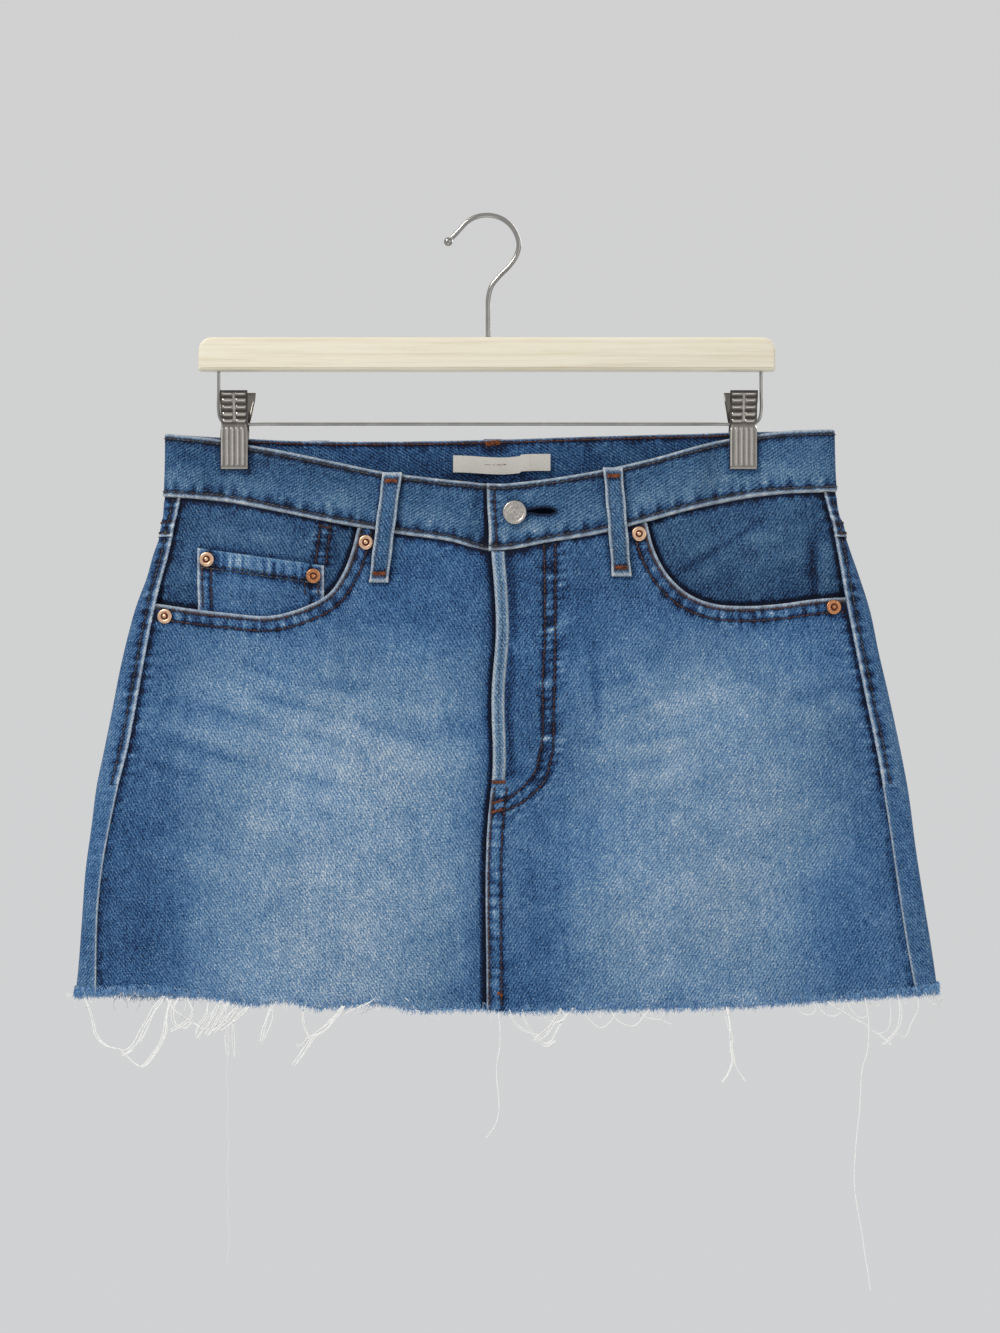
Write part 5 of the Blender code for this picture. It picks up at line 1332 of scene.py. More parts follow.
# patch pockets: two rows inside the edge and a hem row
for (pq, pz, pd), right in ((pp_l, False), (pp_r, True)):
    nc, nr = pq.shape
    xs = surface(pq, pz)[..., 0]

    def pocket_point(a, b):
        """a across in mm from the outer edge share, b down share, which is not used."""
        ci = np.clip(a, 0, 1) * (nc - 1)
        return ci
    for inset in (2.2, 8.6):
        fx = inset / 142.0
        fz = inset / 132.0
        across = np.interp
        m = spread(142.0, first=(0, 0.3, 0.9, 1.8, 3.0), last=(3.0, 1.8, 0.9, 0.3, 0.0), step=2.4)
        rr = spread(130.0, first=(0, 0.3, 0.9, 1.8, 3.0), last=(3.0, 1.8, 0.9, 0.3, 0.0), step=2.4)
        us = np.r_[np.full(160, fx), np.linspace(fx, 1 - fx, 180), np.full(160, 1 - fx)]
        vsn = np.r_[np.linspace(0.01, 1 - fz, 160), np.full(180, 1 - fz), np.linspace(1 - fz, 0.01, 160)]
        qa, qb = pq[0, 0], pq[-1, 0]
        qv = qa + (qb - qa) * us
        point = 16.0 * np.maximum(0.0, 1.0 - np.abs(np.abs(qv - 2.0) - 0.29) / 0.21)
        zv = -268.0 + (-392.0 - point + 268.0) * vsn
        iu = np.interp(us, m, np.arange(nc))
        iv = np.interp(vsn, rr, np.arange(nr))
        i0, j0 = np.clip(iu.astype(int), 0, nc - 2), np.clip(iv.astype(int), 0, nr - 2)
        fu, fv = iu - i0, iv - j0
        dv = (pd[i0, j0] * (1 - fu) * (1 - fv) + pd[i0 + 1, j0] * fu * (1 - fv) + pd[i0, j0 + 1] * (1 - fu) * fv
              + pd[i0 + 1, j0 + 1] * fu * fv)
        brown.run(at(qv, zv, dv), normal(qv, zv), r=0.29)
    us = np.linspace(0.02, 0.98, 200)
    qv = qa + (qb - qa) * us
    zv = np.full_like(qv, -278.4)
    iu = np.interp(us, m, np.arange(nc))
    i0 = np.clip(iu.astype(int), 0, nc - 2)
    point = 16.0 * np.maximum(0.0, 1.0 - np.abs(np.abs(qv - 2.0) - 0.29) / 0.21)
    iv = np.interp(10.4 / (124.0 + point), rr, np.arange(nr))
    j0 = np.clip(iv.astype(int), 0, nr - 2)
    dv = pd[i0, j0] * (1 - (iv - j0)) + pd[i0, j0 + 1] * (iv - j0)
    brown.run(at(qv, zv, dv), normal(qv, zv), r=0.29)
# fly edge: a tonal row down its middle
zt = np.arange(-209.0, -343.0, -0.8)
xt = fly_x(zt) + 3.9
dt_ = front_layer(xt, zt, True)[0]
tonal.run(at(q_front(xt, zt), zt, dt_ + 1.22), normal(q_front(xt, zt), zt), r=0.15, pitch=2.4)
# belt loops: two rows each and a bartack at each end
for key, face in loop_face.items():
    back = LOOPS[key][2]
    t = np.linspace(0.03, 0.97, 120)
    for s in (-0.62, 0.62):
        p = face(np.full_like(t, s), t)
        n = np.tile([0, 1.0 if back else -1.0, 0], (len(t), 1))
        tonal.run(p - n * 0.20, n, r=0.13, pitch=2.4)
    for tt in (0.079, 0.921):
        a, b = face(np.array([-0.62]), np.array([tt]))[0], face(np.array([0.62]), np.array([tt]))[0]
        n = np.array([0, 1.0 if back else -1.0, 0])
        orange.bar(a + n * 0.05, b + n * 0.05, n, 2.2)


# other bartacks
def front_tack(x0, z0, x1, z1, extra=0.1, right=True, width=1.8, which=orange, layer=None):
    p, n = front_path([(x0, z0), (x1, z1)], right, extra, layer)
    which.bar(p[0], p[1], n[0], width)


front_tack(2.6, -346.6, 10.6, -346.3, 0.5)
front_tack(2.2, -359.6, 8.6, -357.2, 0.15, width=1.2)
front_tack(1.6, -365.0, 9.0, -362.6, 0.15, width=1.2)
front_tack(5.6, -474.2, 8.8, -476.0, 0.2, width=1.6)
for x0, z0, x1, z1 in ((-103.4, -189.6, -95.4, -191.0), (186, -173.2, 186.1, -173.3)):
    if x0 < 0:
        front_tack(x0, z0 - 0.6, x1, z1 - 0.6, 0.2, False, 1.4, brown, facing_face)
# the back-centre loop's tack shows on the inside of the band
p0 = at(q_back(-1.6, -138.9), -138.9, BAND_IN)
p1 = at(q_back(7.0, -137.6), -137.6, BAND_IN)
orange.bar(p0, p1, -normal(q_back(3.0, -138.5), -138.5), 3.0, r=0.34, rise=0.5)
# no tacks at the top of the side seams, where the yoke meets: this loop does nothing
for right in (False, True):
    for zt_, w in ((YOKE_SIDE + 5.4, 1.4),):
        pass

ob_brown = tubes("stitches_brown", brown.paths, brown.radii, M_BROWN, "denim", 5)
ob_orange = tubes("stitches_orange", orange.paths, orange.radii, M_ORANGE, "denim", 5)
ob_chain = tubes("stitches_chain", chain.paths, chain.radii, M_CHAIN, "denim", 5)
ob_tonal = tubes("stitches_tonal", tonal.paths, tonal.radii, M_TONAL, "denim", 5)

# ------------------------------------------------------------------ buttonhole
hx = np.linspace(21.0, 42.0, 34)
hz = -181.6 + 0.4 * np.sin((hx - 20) / 8)
half_w = (0.45 + 1.35 * smooth(23.0, 32.5, hx)) * (1 - smooth(37.5, 42.2, hx)) + 0.15
tx = np.linspace(-1, 1, 9)
X = hx[:, None] + 0 * tx[None]
Z = hz[:, None] + half_w[:, None] * tx[None]
bd = band_layer(q_front(X, Z), Z, band_top_f(X), band_low_f(X))[0]
dome = BAND_OUT + bd + 0.16 - 0.12 * tx[None] ** 2
M_DARK = cotton("thread_dark", srgb(38, 56, 88), srgb(10, 16, 30), 0.95)
# the open slit is a near-black capsule on the band: painted shade of the hole
n_ = Nodes("buttonhole_dark")
n_.link(n_.mix(n_.noise(n_.obj(), 700.0, 2.0), srgb(1, 2, 5), srgb(8, 11, 20)), n_.p.inputs["Base Color"])
n_.p.inputs["Roughness"].default_value = 1.0
n_.p.inputs["Specular IOR Level"].default_value = 0.0
hole = shell("buttonhole", q_front(X, Z), Z, dome, dome - 0.5, [n_.mat, n_.mat], dict(wash_and_shade=0 * X))
cut_hole = Stitches()
ho = np.concatenate([np.stack([hx, hz + half_w + 0.5], -1), np.stack([hx[::-1], (hz - half_w - 0.5)[::-1]], -1)])
ho = dense(ho, 0.62)
cen = np.interp(ho[:, 0], hx, hz)
for (xa, za), zc_ in zip(ho, cen):
    v = np.array([0.25 * np.sign(xa - 31.5) * (abs(xa - 31.5) > 9), np.sign(za - zc_) if za != zc_ else 1.0])
    v = v / np.linalg.norm(v)
    a, b = (xa - v[0] * 0.7, za - v[1] * 0.7), (xa + v[0] * 0.9, za + v[1] * 0.9)
    pts = np.array([a, ((a[0] + b[0]) / 2, (a[1] + b[1]) / 2), b])
    bd = band_layer(q_front(pts[:, 0], pts[:, 1]), pts[:, 1], band_top_f(pts[:, 0]), band_low_f(pts[:, 0]))[0]
    P = at(q_front(pts[:, 0], pts[:, 1]), pts[:, 1], BAND_OUT + bd + np.array([0.1, 0.3, 0.0]))
    cut_hole.paths.append(P)
    cut_hole.radii.append(np.full(3, 0.24))
tubes("buttonhole_stitches", cut_hole.paths, cut_hole.radii, M_DARK, "denim", 4)

# ------------------------------------------------------------------ raw hem: fibres and white weft threads
def place_front(x, z, d=0.0):
    """A point at x, z in front, below the hem too."""
    zz_ = np.maximum(z, -484.0)
    base = at(q_front(x, zz_), zz_, d)
    base[..., 0] = x
    base[..., 2] = z
    return base


def hem_points(q):
    z = np.full_like(q, -480.0)
    for _ in range(3):
        x = surface(q, z)[..., 0]
        z = hem_at(x, q)
    return x, z


def fibres(count, lo, hi, spread_x, back_share, curl, thick):
    """Short warp ends along the raw edge, all the way round."""
    paths, radii = [], []
    qv = np.where(rng.random(count) < back_share, rng.uniform(1.0, 3.0, count), rng.uniform(-1.0, 1.0, count))
    x, z = hem_points(qv)
    nrm = normal(qv, z)
    face = rng.random(count) < 0.42
    p0 = surface(qv, z) + nrm * np.where(face, rng.uniform(0.1, 0.8, count), rng.uniform(-1.3, -0.1, count))[:, None]
    p0[:, 2] += np.where(face, rng.uniform(0.6, 4.6, count), rng.uniform(0.2, 1.2, count))
    length = rng.uniform(lo, hi, count) * rng.uniform(0.6, 1.0, count)
    lean = rng.normal(0, spread_x, count)
    cur = rng.normal(0, curl, (count, 2))
    t = np.linspace(0, 1, 4)
    tangent = np.stack([-nrm[:, 1], nrm[:, 0], 0 * nrm[:, 0]], -1)
    for i in range(count):
        side = lean[i] * t + cur[i, 0] * np.sin(t * 3.1) * 0.5
        out = cur[i, 1] * t * t
        p = p0[i] + tangent[i] * (side * length[i])[:, None] + nrm[i] * (out * length[i])[:, None]
        p[:, 2] -= t * length[i]
        paths.append(p)
        radii.append(np.linspace(thick, 0.4 * thick, 4))
    return paths, radii


hem_blue = fibres(8200, 1.4, 4.6, 0.42, 0.42, 0.30, 0.27)
hem_pale = fibres(900, 1.6, 4.4, 0.5, 0.42, 0.35, 0.20)
tubes("hem_fibres_blue", *hem_blue, M_BLUE, "white_thread", 3)
tubes("hem_fibres_pale", *hem_pale, M_PALE, "white_thread", 3)

# white weft threads, placed one by one: lines of (x, z), then strands, spread, radius
WEFT = [
    ([(-247, -477), (-243, -487), (-238.5, -502), (-232, -507), (-222.6, -509.5)], 2, 1.0, 0.28),
    ([(-198, -477), (-204, -486), (-209, -495), (-216, -507), (-223, -512)], 3, 1.6, 0.30),
    ([(-193, -479), (-196, -490), (-197, -500), (-203, -511), (-211.5, -519), (-217, -516), (-224, -509)], 3, 1.3, 0.30),
    ([(-196, -478), (-190, -486), (-184, -490), (-178, -493), (-172, -497)], 2, 1.5, 0.27),
    ([(-188, -478), (-192, -486), (-190, -494), (-184, -496), (-180, -491)], 2, 1.4, 0.26),
    ([(-183, -478), (-180, -486), (-186, -494), (-193, -497)], 2, 1.3, 0.26),
    ([(-170, -479), (-172, -488), (-177, -496), (-178, -500)], 2, 1.2, 0.26),
    ([(-163, -480), (-168, -488), (-173, -497), (-177, -502)], 3, 1.6, 0.26),
    ([(-158, -480), (-163, -487), (-168, -495), (-171, -500)], 3, 1.8, 0.26),
    ([(-151, -481), (-157, -488), (-163, -494), (-167, -498)], 3, 1.8, 0.26),
    ([(-146, -483), (-152, -488), (-158, -493), (-163, -496)], 3, 1.6, 0.26),
    ([(-160, -482), (-159, -494), (-159, -505), (-158, -512)], 3, 1.2, 0.16),
    ([(-155, -482), (-155, -494), (-155, -506), (-154.5, -513)], 2, 0.9, 0.16),
    ([(-129, -479), (-133, -486), (-136, -494), (-138, -503)], 2, 1.3, 0.27),
    ([(-130, -479), (-131, -488), (-134, -497), (-137, -504)], 1, 1.0, 0.24),
    ([(-110, -479), (-112, -486), (-111, -494), (-108, -501)], 2, 0.9, 0.25),
    ([(-88, -482), (-93, -489), (-99, -495), (-107, -501), (-112, -509), (-118, -517)], 4, 1.5, 0.28),
    ([(-66, -476), (-74, -480), (-82, -483.5), (-88, -485.5)], 2, 0.5, 0.22),
    ([(-108, -500), (-111, -503), (-114, -506), (-116, -505)], 2, 1.0, 0.22),
    ([(-50, -477), (-46, -480), (-43, -484), (-41, -484)], 1, 0.5, 0.24),
    ([(12, -484), (16, -492), (22, -497), (30, -499), (37, -497)], 2, 1.5, 0.25),
    ([(20, -484), (24, -494), (30, -502), (36, -506), (41, -503)], 2, 1.6, 0.25),
    ([(44, -484), (40, -492), (34, -499), (28, -503)], 3, 1.8, 0.24),
    ([(52, -484), (46, -490), (42, -498), (38, -504), (33, -505)], 2, 1.6, 0.24),
    ([(29, -485), (34, -489), (42, -492), (47, -489), (46, -485)], 2, 1.2, 0.23),
    ([(57, -484), (62, -491), (69, -495), (75, -491), (78, -485)], 1, 0.8, 0.26),
    ([(74, -484), (80, -492), (88, -494), (94, -489), (97, -485)], 1, 0.8, 0.26),
    ([(90, -484), (98, -489), (106, -490), (111.6, -492)], 1, 0.6, 0.26),
    ([(144.5, -483), (147, -494), (147.5, -508), (148, -517), (145, -524), (142, -528)], 2, 0.9, 0.25),
    ([(146, -484), (147.5, -496), (148.5, -508), (152, -520), (156.5, -527)], 2, 0.9, 0.25),
    ([(141, -482), (144, -488), (146, -496), (149, -502), (147, -510)], 1, 1.0, 0.24),
    ([(188, -482), (191, -487), (196, -488), (199, -484), (198, -480)], 1, 0.8, 0.27),
    ([(200, -481), (205, -487), (211, -489), (216, -485), (217, -479)], 1, 0.8, 0.27),
    ([(207, -480), (218, -487), (230, -494), (240, -501), (246, -506)], 2, 0.9, 0.25),
    ([(218, -479), (222, -486), (228, -490), (234, -487)], 1, 0.8, 0.24),
    ([(250, -476), (252, -486), (250, -496), (245, -503), (241, -506)], 2, 1.0, 0.26),
    ([(262, -475), (263, -484), (259, -494), (254, -502), (249, -500)], 1, 0.8, 0.26),
    ([(244, -477), (246, -488), (243, -498), (238, -500)], 1, 0.8, 0.24),
    ([(266, -474), (270, -480), (275, -483), (279, -480)], 1, 0.6, 0.25),
    ([(-253, -476), (-257, -478), (-259, -476)], 2, 0.6, 0.25),
]
w_paths, w_radii = [], []
for pts, strands, wide, r in WEFT:
    line = dense(pts, 1.3)
    k = len(line)
    t = np.linspace(0, 1, k)
    for s in range(strands):
        ph = rng.uniform(0, 6.28)
        off = (s - (strands - 1) / 2) * wide * (0.35 + 0.65 * np.sin(math.pi * t) + 0.3 * t) + rng.normal(0, 0.25)
        x = line[:, 0] + off * 0.8 + 0.25 * np.sin(t * k * 0.33 + ph)
        z = line[:, 1] + 0.3 * np.cos(t * k * 0.5 + ph) - 1.6 * rng.random() * t
        y = -0.2 + 0.5 * np.sin(t * 5 + ph) + 0.25 * np.sin(t * k * 0.6 + ph) + 0.4 * s
        p = place_front(x, z, 0.0)
        p[:, 1] -= y * t ** 0.3
        w_paths.append(p)
        w_radii.append(np.full(k, r * 1.5) * rng.uniform(0.85, 1.1))
# the rest of the edge: small loops and ends, front and back
for k in range(260):
    qv = np.array([rng.uniform(-1.0, 3.0)])
    x, z = hem_points(qv)
    nrm, base = normal(qv, z)[0], surface(qv, z)[0]
    n_pt = 9
    t = np.linspace(0, 1, n_pt)
    wide, deep = rng.uniform(-5, 5), rng.uniform(1.5, 7.0) * (1.8 if rng.random() < 0.12 else 1.0)
    tang = np.array([-nrm[1], nrm[0], 0])
    loop = rng.random() < 0.4
    fall = np.sin(t * math.pi) if loop else t
    p = base + nrm * (-0.7 + rng.normal(0, 0.5) * np.sin(t * 3))[:, None] + tang * (wide * t + rng.normal(0, 0.5) * np.sin(t * 6))[:, None]
    p[:, 2] += 0.6 - deep * fall
    w_paths.append(p)
    w_radii.append(np.full(n_pt, rng.uniform(0.14, 0.24)))
# longer ends along the back hem
for k in range(30):
    qv = np.array([rng.uniform(1.05, 2.95)])
    x, z = hem_points(qv)
    nrm, base = normal(qv, z)[0], surface(qv, z)[0]
    t = np.linspace(0, 1, 16)
    deep = rng.uniform(5, 13)
    tang = np.array([-nrm[1], nrm[0], 0])
    lean, ph = rng.normal(0, 5), rng.uniform(0, 6.28)
    p = base + nrm * (-0.7 + 0.6 * np.sin(t * 4 + ph) * t)[:, None] + tang * (lean * t + 1.2 * np.sin(t * 5 + ph) * t)[:, None]
    p[:, 2] += 0.6 - deep * t
    w_paths.append(p)
    w_radii.append(np.full(16, rng.uniform(0.18, 0.26)))
# one hair-fine filament that hangs far below, left of the middle
line = dense([(-165, -480), (-160, -500), (-158.6, -530), (-158.2, -560), (-158.4, -590), (-157.8, -620), (-158, -640)], 3.0)
p = place_front(line[:, 0] + 0.5 * np.sin(np.arange(len(line)) * 0.7), line[:, 1], 0.3)
w_paths.append(p)
w_radii.append(np.full(len(p), 0.10))
fringe = tubes("hem_fringe", w_paths, w_radii, M_WHITE, "white_thread", 5, cad=("hem_fringe_front", "hem_fringe_back"))


# ------------------------------------------------------------------ the two long threads, as two twisted plies
def hang(points, count):
    p = np.array([(x, 0.0, z) for x, z in points])
    zc_ = np.maximum(p[:, 2], -482.0)
    p[:, 1] = at(q_front(p[:, 0], zc_), zc_, np.full(len(p), 1.0))[:, 1]
    s = np.r_[0, np.cumsum(np.linalg.norm(np.diff(p, axis=0), axis=1))]
    t = np.linspace(0, s[-1], count + 1)
    return np.stack([Curve(list(zip(s, p[:, i])))(t) for i in range(3)], -1)


def long_thread(name, points, cad_count, dia=0.7):
    centre = hang(points, cad_count * 6)
    length = float(np.linalg.norm(np.diff(centre, axis=0), axis=1).sum())
    s = np.r_[0, np.cumsum(np.linalg.norm(np.diff(centre, axis=0), axis=1))]
    sides = 12
    t = np.gradient(centre, axis=0)
    t = t / np.linalg.norm(t, axis=1, keepdims=True)
    b = np.cross(t, np.array([0.0, 1.0, 0.0]))
    b = b / np.linalg.norm(b, axis=1, keepdims=True)
    n = np.cross(b, t)
    ang = np.arange(sides) * 2 * math.pi / sides
    # two plies: the section is pinched in two places that turn along the thread
    twist = s * 2 * math.pi / 3.2
    rad = dia / 2 * (0.86 + 0.20 * np.cos(2 * (ang[None] - twist[:, None])))
    ring = centre[:, None] + rad[..., None] * (b[:, None] * np.cos(ang)[None, :, None] + n[:, None] * np.sin(ang)[None, :, None])
    k = len(centre)
    idx = np.arange(k * sides).reshape(k, sides)
    nxt = np.roll(idx, -1, axis=1)
    fs = np.stack([idx[:-1], nxt[:-1], nxt[1:], idx[1:]], -1).reshape(-1, 4).tolist()
    fs.append(idx[0][::-1].tolist())
    fs.append(idx[-1].tolist())
    ob = build(name + "_yarn", ring.reshape(-1, 3), fs, [M_WHITE], cad=(name,), sharp=80)
    return length


len_c = long_thread("thread_centre", THREAD_C, 26)
len_r = long_thread("thread_right", THREAD_R, 46)

# ------------------------------------------------------------------ label: cream tape, slightly waved, no words
lx = np.linspace(-21.6, 38.4, 61)
lz = np.linspace(0, -10.4, 13)
sag = -1.3 * np.sin((lx + 21.6) / 60.0 * math.pi) ** 2 * (lx < 20) + 0.9 * smooth(8, 30, lx)
Z = (-145.9 + sag)[:, None] + lz[None]
X = lx[:, None] + 0 * Z
wavy = 0.35 * np.sin(lx / 7.0)[:, None] + 0.25 * np.sin(lx / 3.1 + 1)[:, None] * (lz / 10.4)[None]
base = BAND_IN - 0.75 - 0.45 + wavy
n_ = Nodes("label_tape")
o = n_.obj()
col = n_.mix(n_.noise(o, 900.0, 3.0), srgb(208, 205, 198), srgb(192, 188, 180))
for xx, w in ((26.2, 0.00028),):
    sep = n_.t.nodes.new("ShaderNodeSeparateXYZ")
    n_.link(o, sep.inputs[0])
    col = n_.mix(bell(n_, sep.outputs[0], xx * MM, w), col, srgb(196, 186, 170))
n_.link(col, n_.p.inputs["Base Color"])
n_.p.inputs["Roughness"].default_value = 0.7
n_.bump(n_.wave(n_.scaled(o, 1.0, 1.0, 1.0), 1400.0, 0.0, "Z"), 0.2, 0.00008)
label = shell("size_label_tape", q_back(X, Z), Z, base + 0.35, base - 0.35 + 0 * X, [n_.mat, n_.mat], dict(wash_and_shade=0 * X), cad=("size_label",))
marks = Stitches()
for a, b, zz_ in ((-2.0, 1.4, -151.6), (2.4, 4.2, -151.7), (5.2, 8.4, -151.7), (9.2, 11.0, -151.4)):
    xs = np.linspace(a, b, 6)
    marks.paths.append(at(q_back(xs, np.full(6, zz_)), np.full(6, zz_), np.full(6, BAND_IN - 1.62) + 0.35 * np.sin(xs / 7.0)))
    marks.radii.append(np.full(6, 0.16))
tubes("label_marks", marks.paths, marks.radii, cotton("mark_red", srgb(150, 92, 84), srgb(120, 80, 72)), "label_cotton", 4)


# ------------------------------------------------------------------ turned metal: rivets and the button
def turned(name, centre, axis, profile, mats, cad, seg=56, index=None, bumps=None):
    z = np.asarray(axis, float)
    z = z / np.linalg.norm(z)
    x = np.cross(z, [0, 0, 1.0])
    x = x / np.linalg.norm(x)
    y = np.cross(z, x)
    ang = np.arange(seg) * 2 * math.pi / seg
    vs, fs, rings = [], [], []
    for r, h in profile:
        if r == 0:
            rings.append([len(vs)])
            vs.append(centre + z * h)
        else:
            rings.append(list(range(len(vs), len(vs) + seg)))
            extra = bumps(r, ang) if bumps else 0 * ang
            vs.extend(centre + z * (h + e) + (x * math.cos(a) + y * math.sin(a)) * r for a, e in zip(ang, extra))
    kinds = []
    for step, (a, b) in enumerate(zip(rings, rings[1:])):
        kinds += [index[step] if index else 0] * seg
        for k in range(seg):
            m = (k + 1) % seg
            if len(a) == 1:
                fs.append([a[0], b[m], b[k]][::-1])
            elif len(b) == 1:
                fs.append([a[k], b[0], a[m]][::-1])
            else:
                fs.append([a[k], a[m], b[m], b[k]])
    ob = build(name, np.array(vs), fs, mats, kinds, cad=cad, sharp=40)
    bm = bmesh.new()
    bm.from_mesh(ob.data)
    bmesh.ops.recalc_face_normals(bm, faces=bm.faces)
    bm.to_mesh(ob.data)
    bm.free()
    return ob


M_COPPER = metal("copper_rivet", srgb(226, 164, 118), srgb(168, 108, 72), (0.28, 0.45), 900.0)
M_CREAM = metal("copper_rivet_pale", srgb(244, 216, 190), srgb(214, 168, 134), (0.28, 0.42), 900.0)
# darker copper for the nub's flank and the crease round it: the nub's own copper, with painted shade in the crease
M_NUB_AND_CREASE_SHADE = metal("copper_rivet_nub_and_crease_shade", srgb(150, 92, 66), srgb(88, 48, 36), (0.3, 0.5), 900.0)
M_BUTTON = metal("button_metal", srgb(204, 200, 194), srgb(160, 154, 148), (0.34, 0.5), 700.0, 0.00003)
M_STEEL = metal("bright_steel", srgb(176, 173, 168), srgb(152, 149, 145), (0.16, 0.26), 60.0, 0.00001)

RIVET = [(0, -0.35), (4.0, -0.35), (4.45, -0.1), (4.55, 0.25), (4.4, 0.62), (4.0, 0.86), (3.5, 0.96), (2.9, 0.92), (2.35, 0.74),
         (1.95, 0.60), (1.75, 0.62), (1.62, 0.95), (1.5, 1.2), (1.05, 1.34), (0.8, 1.5), (0.55, 1.58), (0.3, 1.6), (0, 1.6)]


def rivet(name, x, z, d, n=None, centre=None):
    shell_mat = M_COPPER if name in ("rivet_coin_inner", "rivet_right_outer") else M_CREAM
    qv = q_front(x, z)
    c = at(qv, z, d) if centre is None else centre
    a = normal(qv, z) if n is None else n
    # the nub's flank and the crease round it take the darker copper, painted shade in the crease
    turned(name + "_head", c, a, RIVET, [shell_mat, M_NUB_AND_CREASE_SHADE], (name,), index=[0] * 8 + [1] * 5 + [0] * 4)


rivet("rivet_left_inner", -74.5, -200.4, float(front_layer(np.array([-74.5]), np.array([-200.4]), False)[0][0]) + 0.3)
rivet("rivet_left_outer", -197.6, -245.5, 0.75)
rivet("rivet_right_inner", 92.2, -195.2, float(front_layer(np.array([92.2]), np.array([-195.2]), True)[0][0]) + 0.3)
rivet("rivet_right_outer", 211.3, -239.8, 0.75)


def coin_at(x, z):
    x, z = np.array([x]), np.array([z])
    return at(q_front(x, z), z, coin_offset(x, z) + 0.35)[0]


for name, x, z in (("rivet_coin_outer", -171.8, -210.8), ("rivet_coin_inner", -106.5, -220.9)):
    nn = np.cross(coin_at(x + 4, z) - coin_at(x - 4, z), coin_at(x, z + 4) - coin_at(x, z - 4))
    rivet(name, x, z, 0, nn / np.linalg.norm(nn), coin_at(x, z) + nn / np.linalg.norm(nn) * 0.35)

BUTTON = [(0, 0.0), (2.6, 0.0), (2.6, 0.9), (6.2, 1.0), (7.0, 1.25), (7.3, 1.75), (7.3, 2.2), (7.05, 2.6), (6.6, 2.85), (6.0, 2.9),
          (5.6, 2.7), (5.2, 2.5), (4.8, 2.46), (4.4, 2.6), (4.0, 2.72), (3.5, 2.72), (3.0, 2.56), (2.5, 2.44), (2.0, 2.5), (1.6, 2.66), (1.2, 2.7), (0.6, 2.6), (0, 2.56)]
turned("button_head", at(q_front(16.2, -182.3), -182.3, BAND_OUT + 0.35), normal(q_front(16.2, -182.3), -182.3), BUTTON, [M_BUTTON],
       ("button",), seg=72, bumps=lambda r, a: 0.07 * np.cos(24 * a) * (5.0 < r < 5.8))

# ------------------------------------------------------------------ hanger: bar
n_ = Nodes("pale_wood")
o = n_.obj()
grain = n_.noise(n_.scaled(o, 9.0, 260.0, 420.0), 1.0, 6.0, 0.62, 0.4)
fine = n_.noise(n_.scaled(o, 60.0, 1500.0, 2200.0), 1.0, 3.0, 0.6)
tone = n_.math("ADD", n_.math("MULTIPLY", grain, 0.75), n_.math("MULTIPLY", fine, 0.25))
col = n_.ramp(tone, [(0.28, srgb(210, 198, 172)), (0.72, srgb(234, 228, 210)), (0.5, srgb(226, 218, 197))])
n_.link(col, n_.p.inputs["Base Color"])
n_.p.inputs["Roughness"].default_value = 0.5
n_.p.inputs["Coat Weight"].default_value = 0.15
n_.p.inputs["Coat Roughness"].default_value = 0.35
n_.bump(tone, 0.25, 0.00012)
r = 8.0
outline = [(BAR_X[0] + 1.2, BAR_Z[0]), (BAR_X[1] - 1.2, BAR_Z[0])]
outline += [(BAR_X[1] - 0.35 , BAR_Z[0] + 0.35), (BAR_X[1], BAR_Z[0] + 1.2)]
outline += [(BAR_X[1] - r + r * math.cos(a), BAR_Z[1] - r + r * math.sin(a)) for a in np.linspace(0, math.pi / 2, 14)]
outline += [(BAR_X[0] + r + r * math.cos(a), BAR_Z[1] - r + r * math.sin(a)) for a in np.linspace(math.pi / 2, math.pi, 14)]
outline += [(BAR_X[0], BAR_Z[0] + 1.2), (BAR_X[0] + 0.35, BAR_Z[0] + 0.35)]
bm = bmesh.new()
face = bm.faces.new([bm.verts.new((x * MM, -BAR_D / 2 * MM, z * MM)) for x, z in outline])
ext = bmesh.ops.extrude_face_region(bm, geom=[face])
bmesh.ops.translate(bm, vec=(0, BAR_D * MM, 0), verts=[v for v in ext["geom"] if isinstance(v, bmesh.types.BMVert)])
bmesh.ops.recalc_face_normals(bm, faces=bm.faces)
rim = [e for e in bm.edges if abs(abs(e.verts[0].co.y) - BAR_D / 2 * MM) < 1e-6 and abs(e.verts[0].co.y - e.verts[1].co.y) < 1e-6]
bmesh.ops.bevel(bm, geom=rim, offset=1.7 * MM, segments=4, affect="EDGES", profile=0.5)
me = bpy.data.meshes.new("hanger_bar_wood")
bm.to_mesh(me)
bm.free()
me.materials.append(n_.mat)
me.shade_smooth()
me.set_sharp_from_angle(angle=math.radians(40))
bar = bpy.data.objects.new("hanger_bar_wood", me)
scene.collection.objects.link(bar)
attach(bar, "root")
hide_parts("hanger_bar")


# ------------------------------------------------------------------ hanger: wires
def smooth_path(pts, count):
    p = np.array([(x, 0.0, z) for x, z in pts])
    s = np.r_[0, np.cumsum(np.linalg.norm(np.diff(p, axis=0), axis=1))]
    t = np.linspace(0, s[-1], count)
    return np.stack([Curve(list(zip(s, p[:, i])))(t) for i in range(3)], -1)


HOOK = [(-22.4, -12.6), (-18.0, -8.0), (-13.2, -2.9), (-7.7, 0.3), (-0.6, 1.5), (6.5, 0.2), (13.0, -3.9),
        (17.3, -10.2), (18.9, -16.8), (17.3, -23.5), (13.0, -29.9), (6.8, -36.2), (2.0, -42.4), (0.2, -49.0),
        (0.0, -58.0), (0.0, -74.4)]
tubes("hook_wire_steel", [smooth_path(HOOK, 170)], [1.5], M_STEEL, "hanger_steel", 24, cad=("hook_wire",))
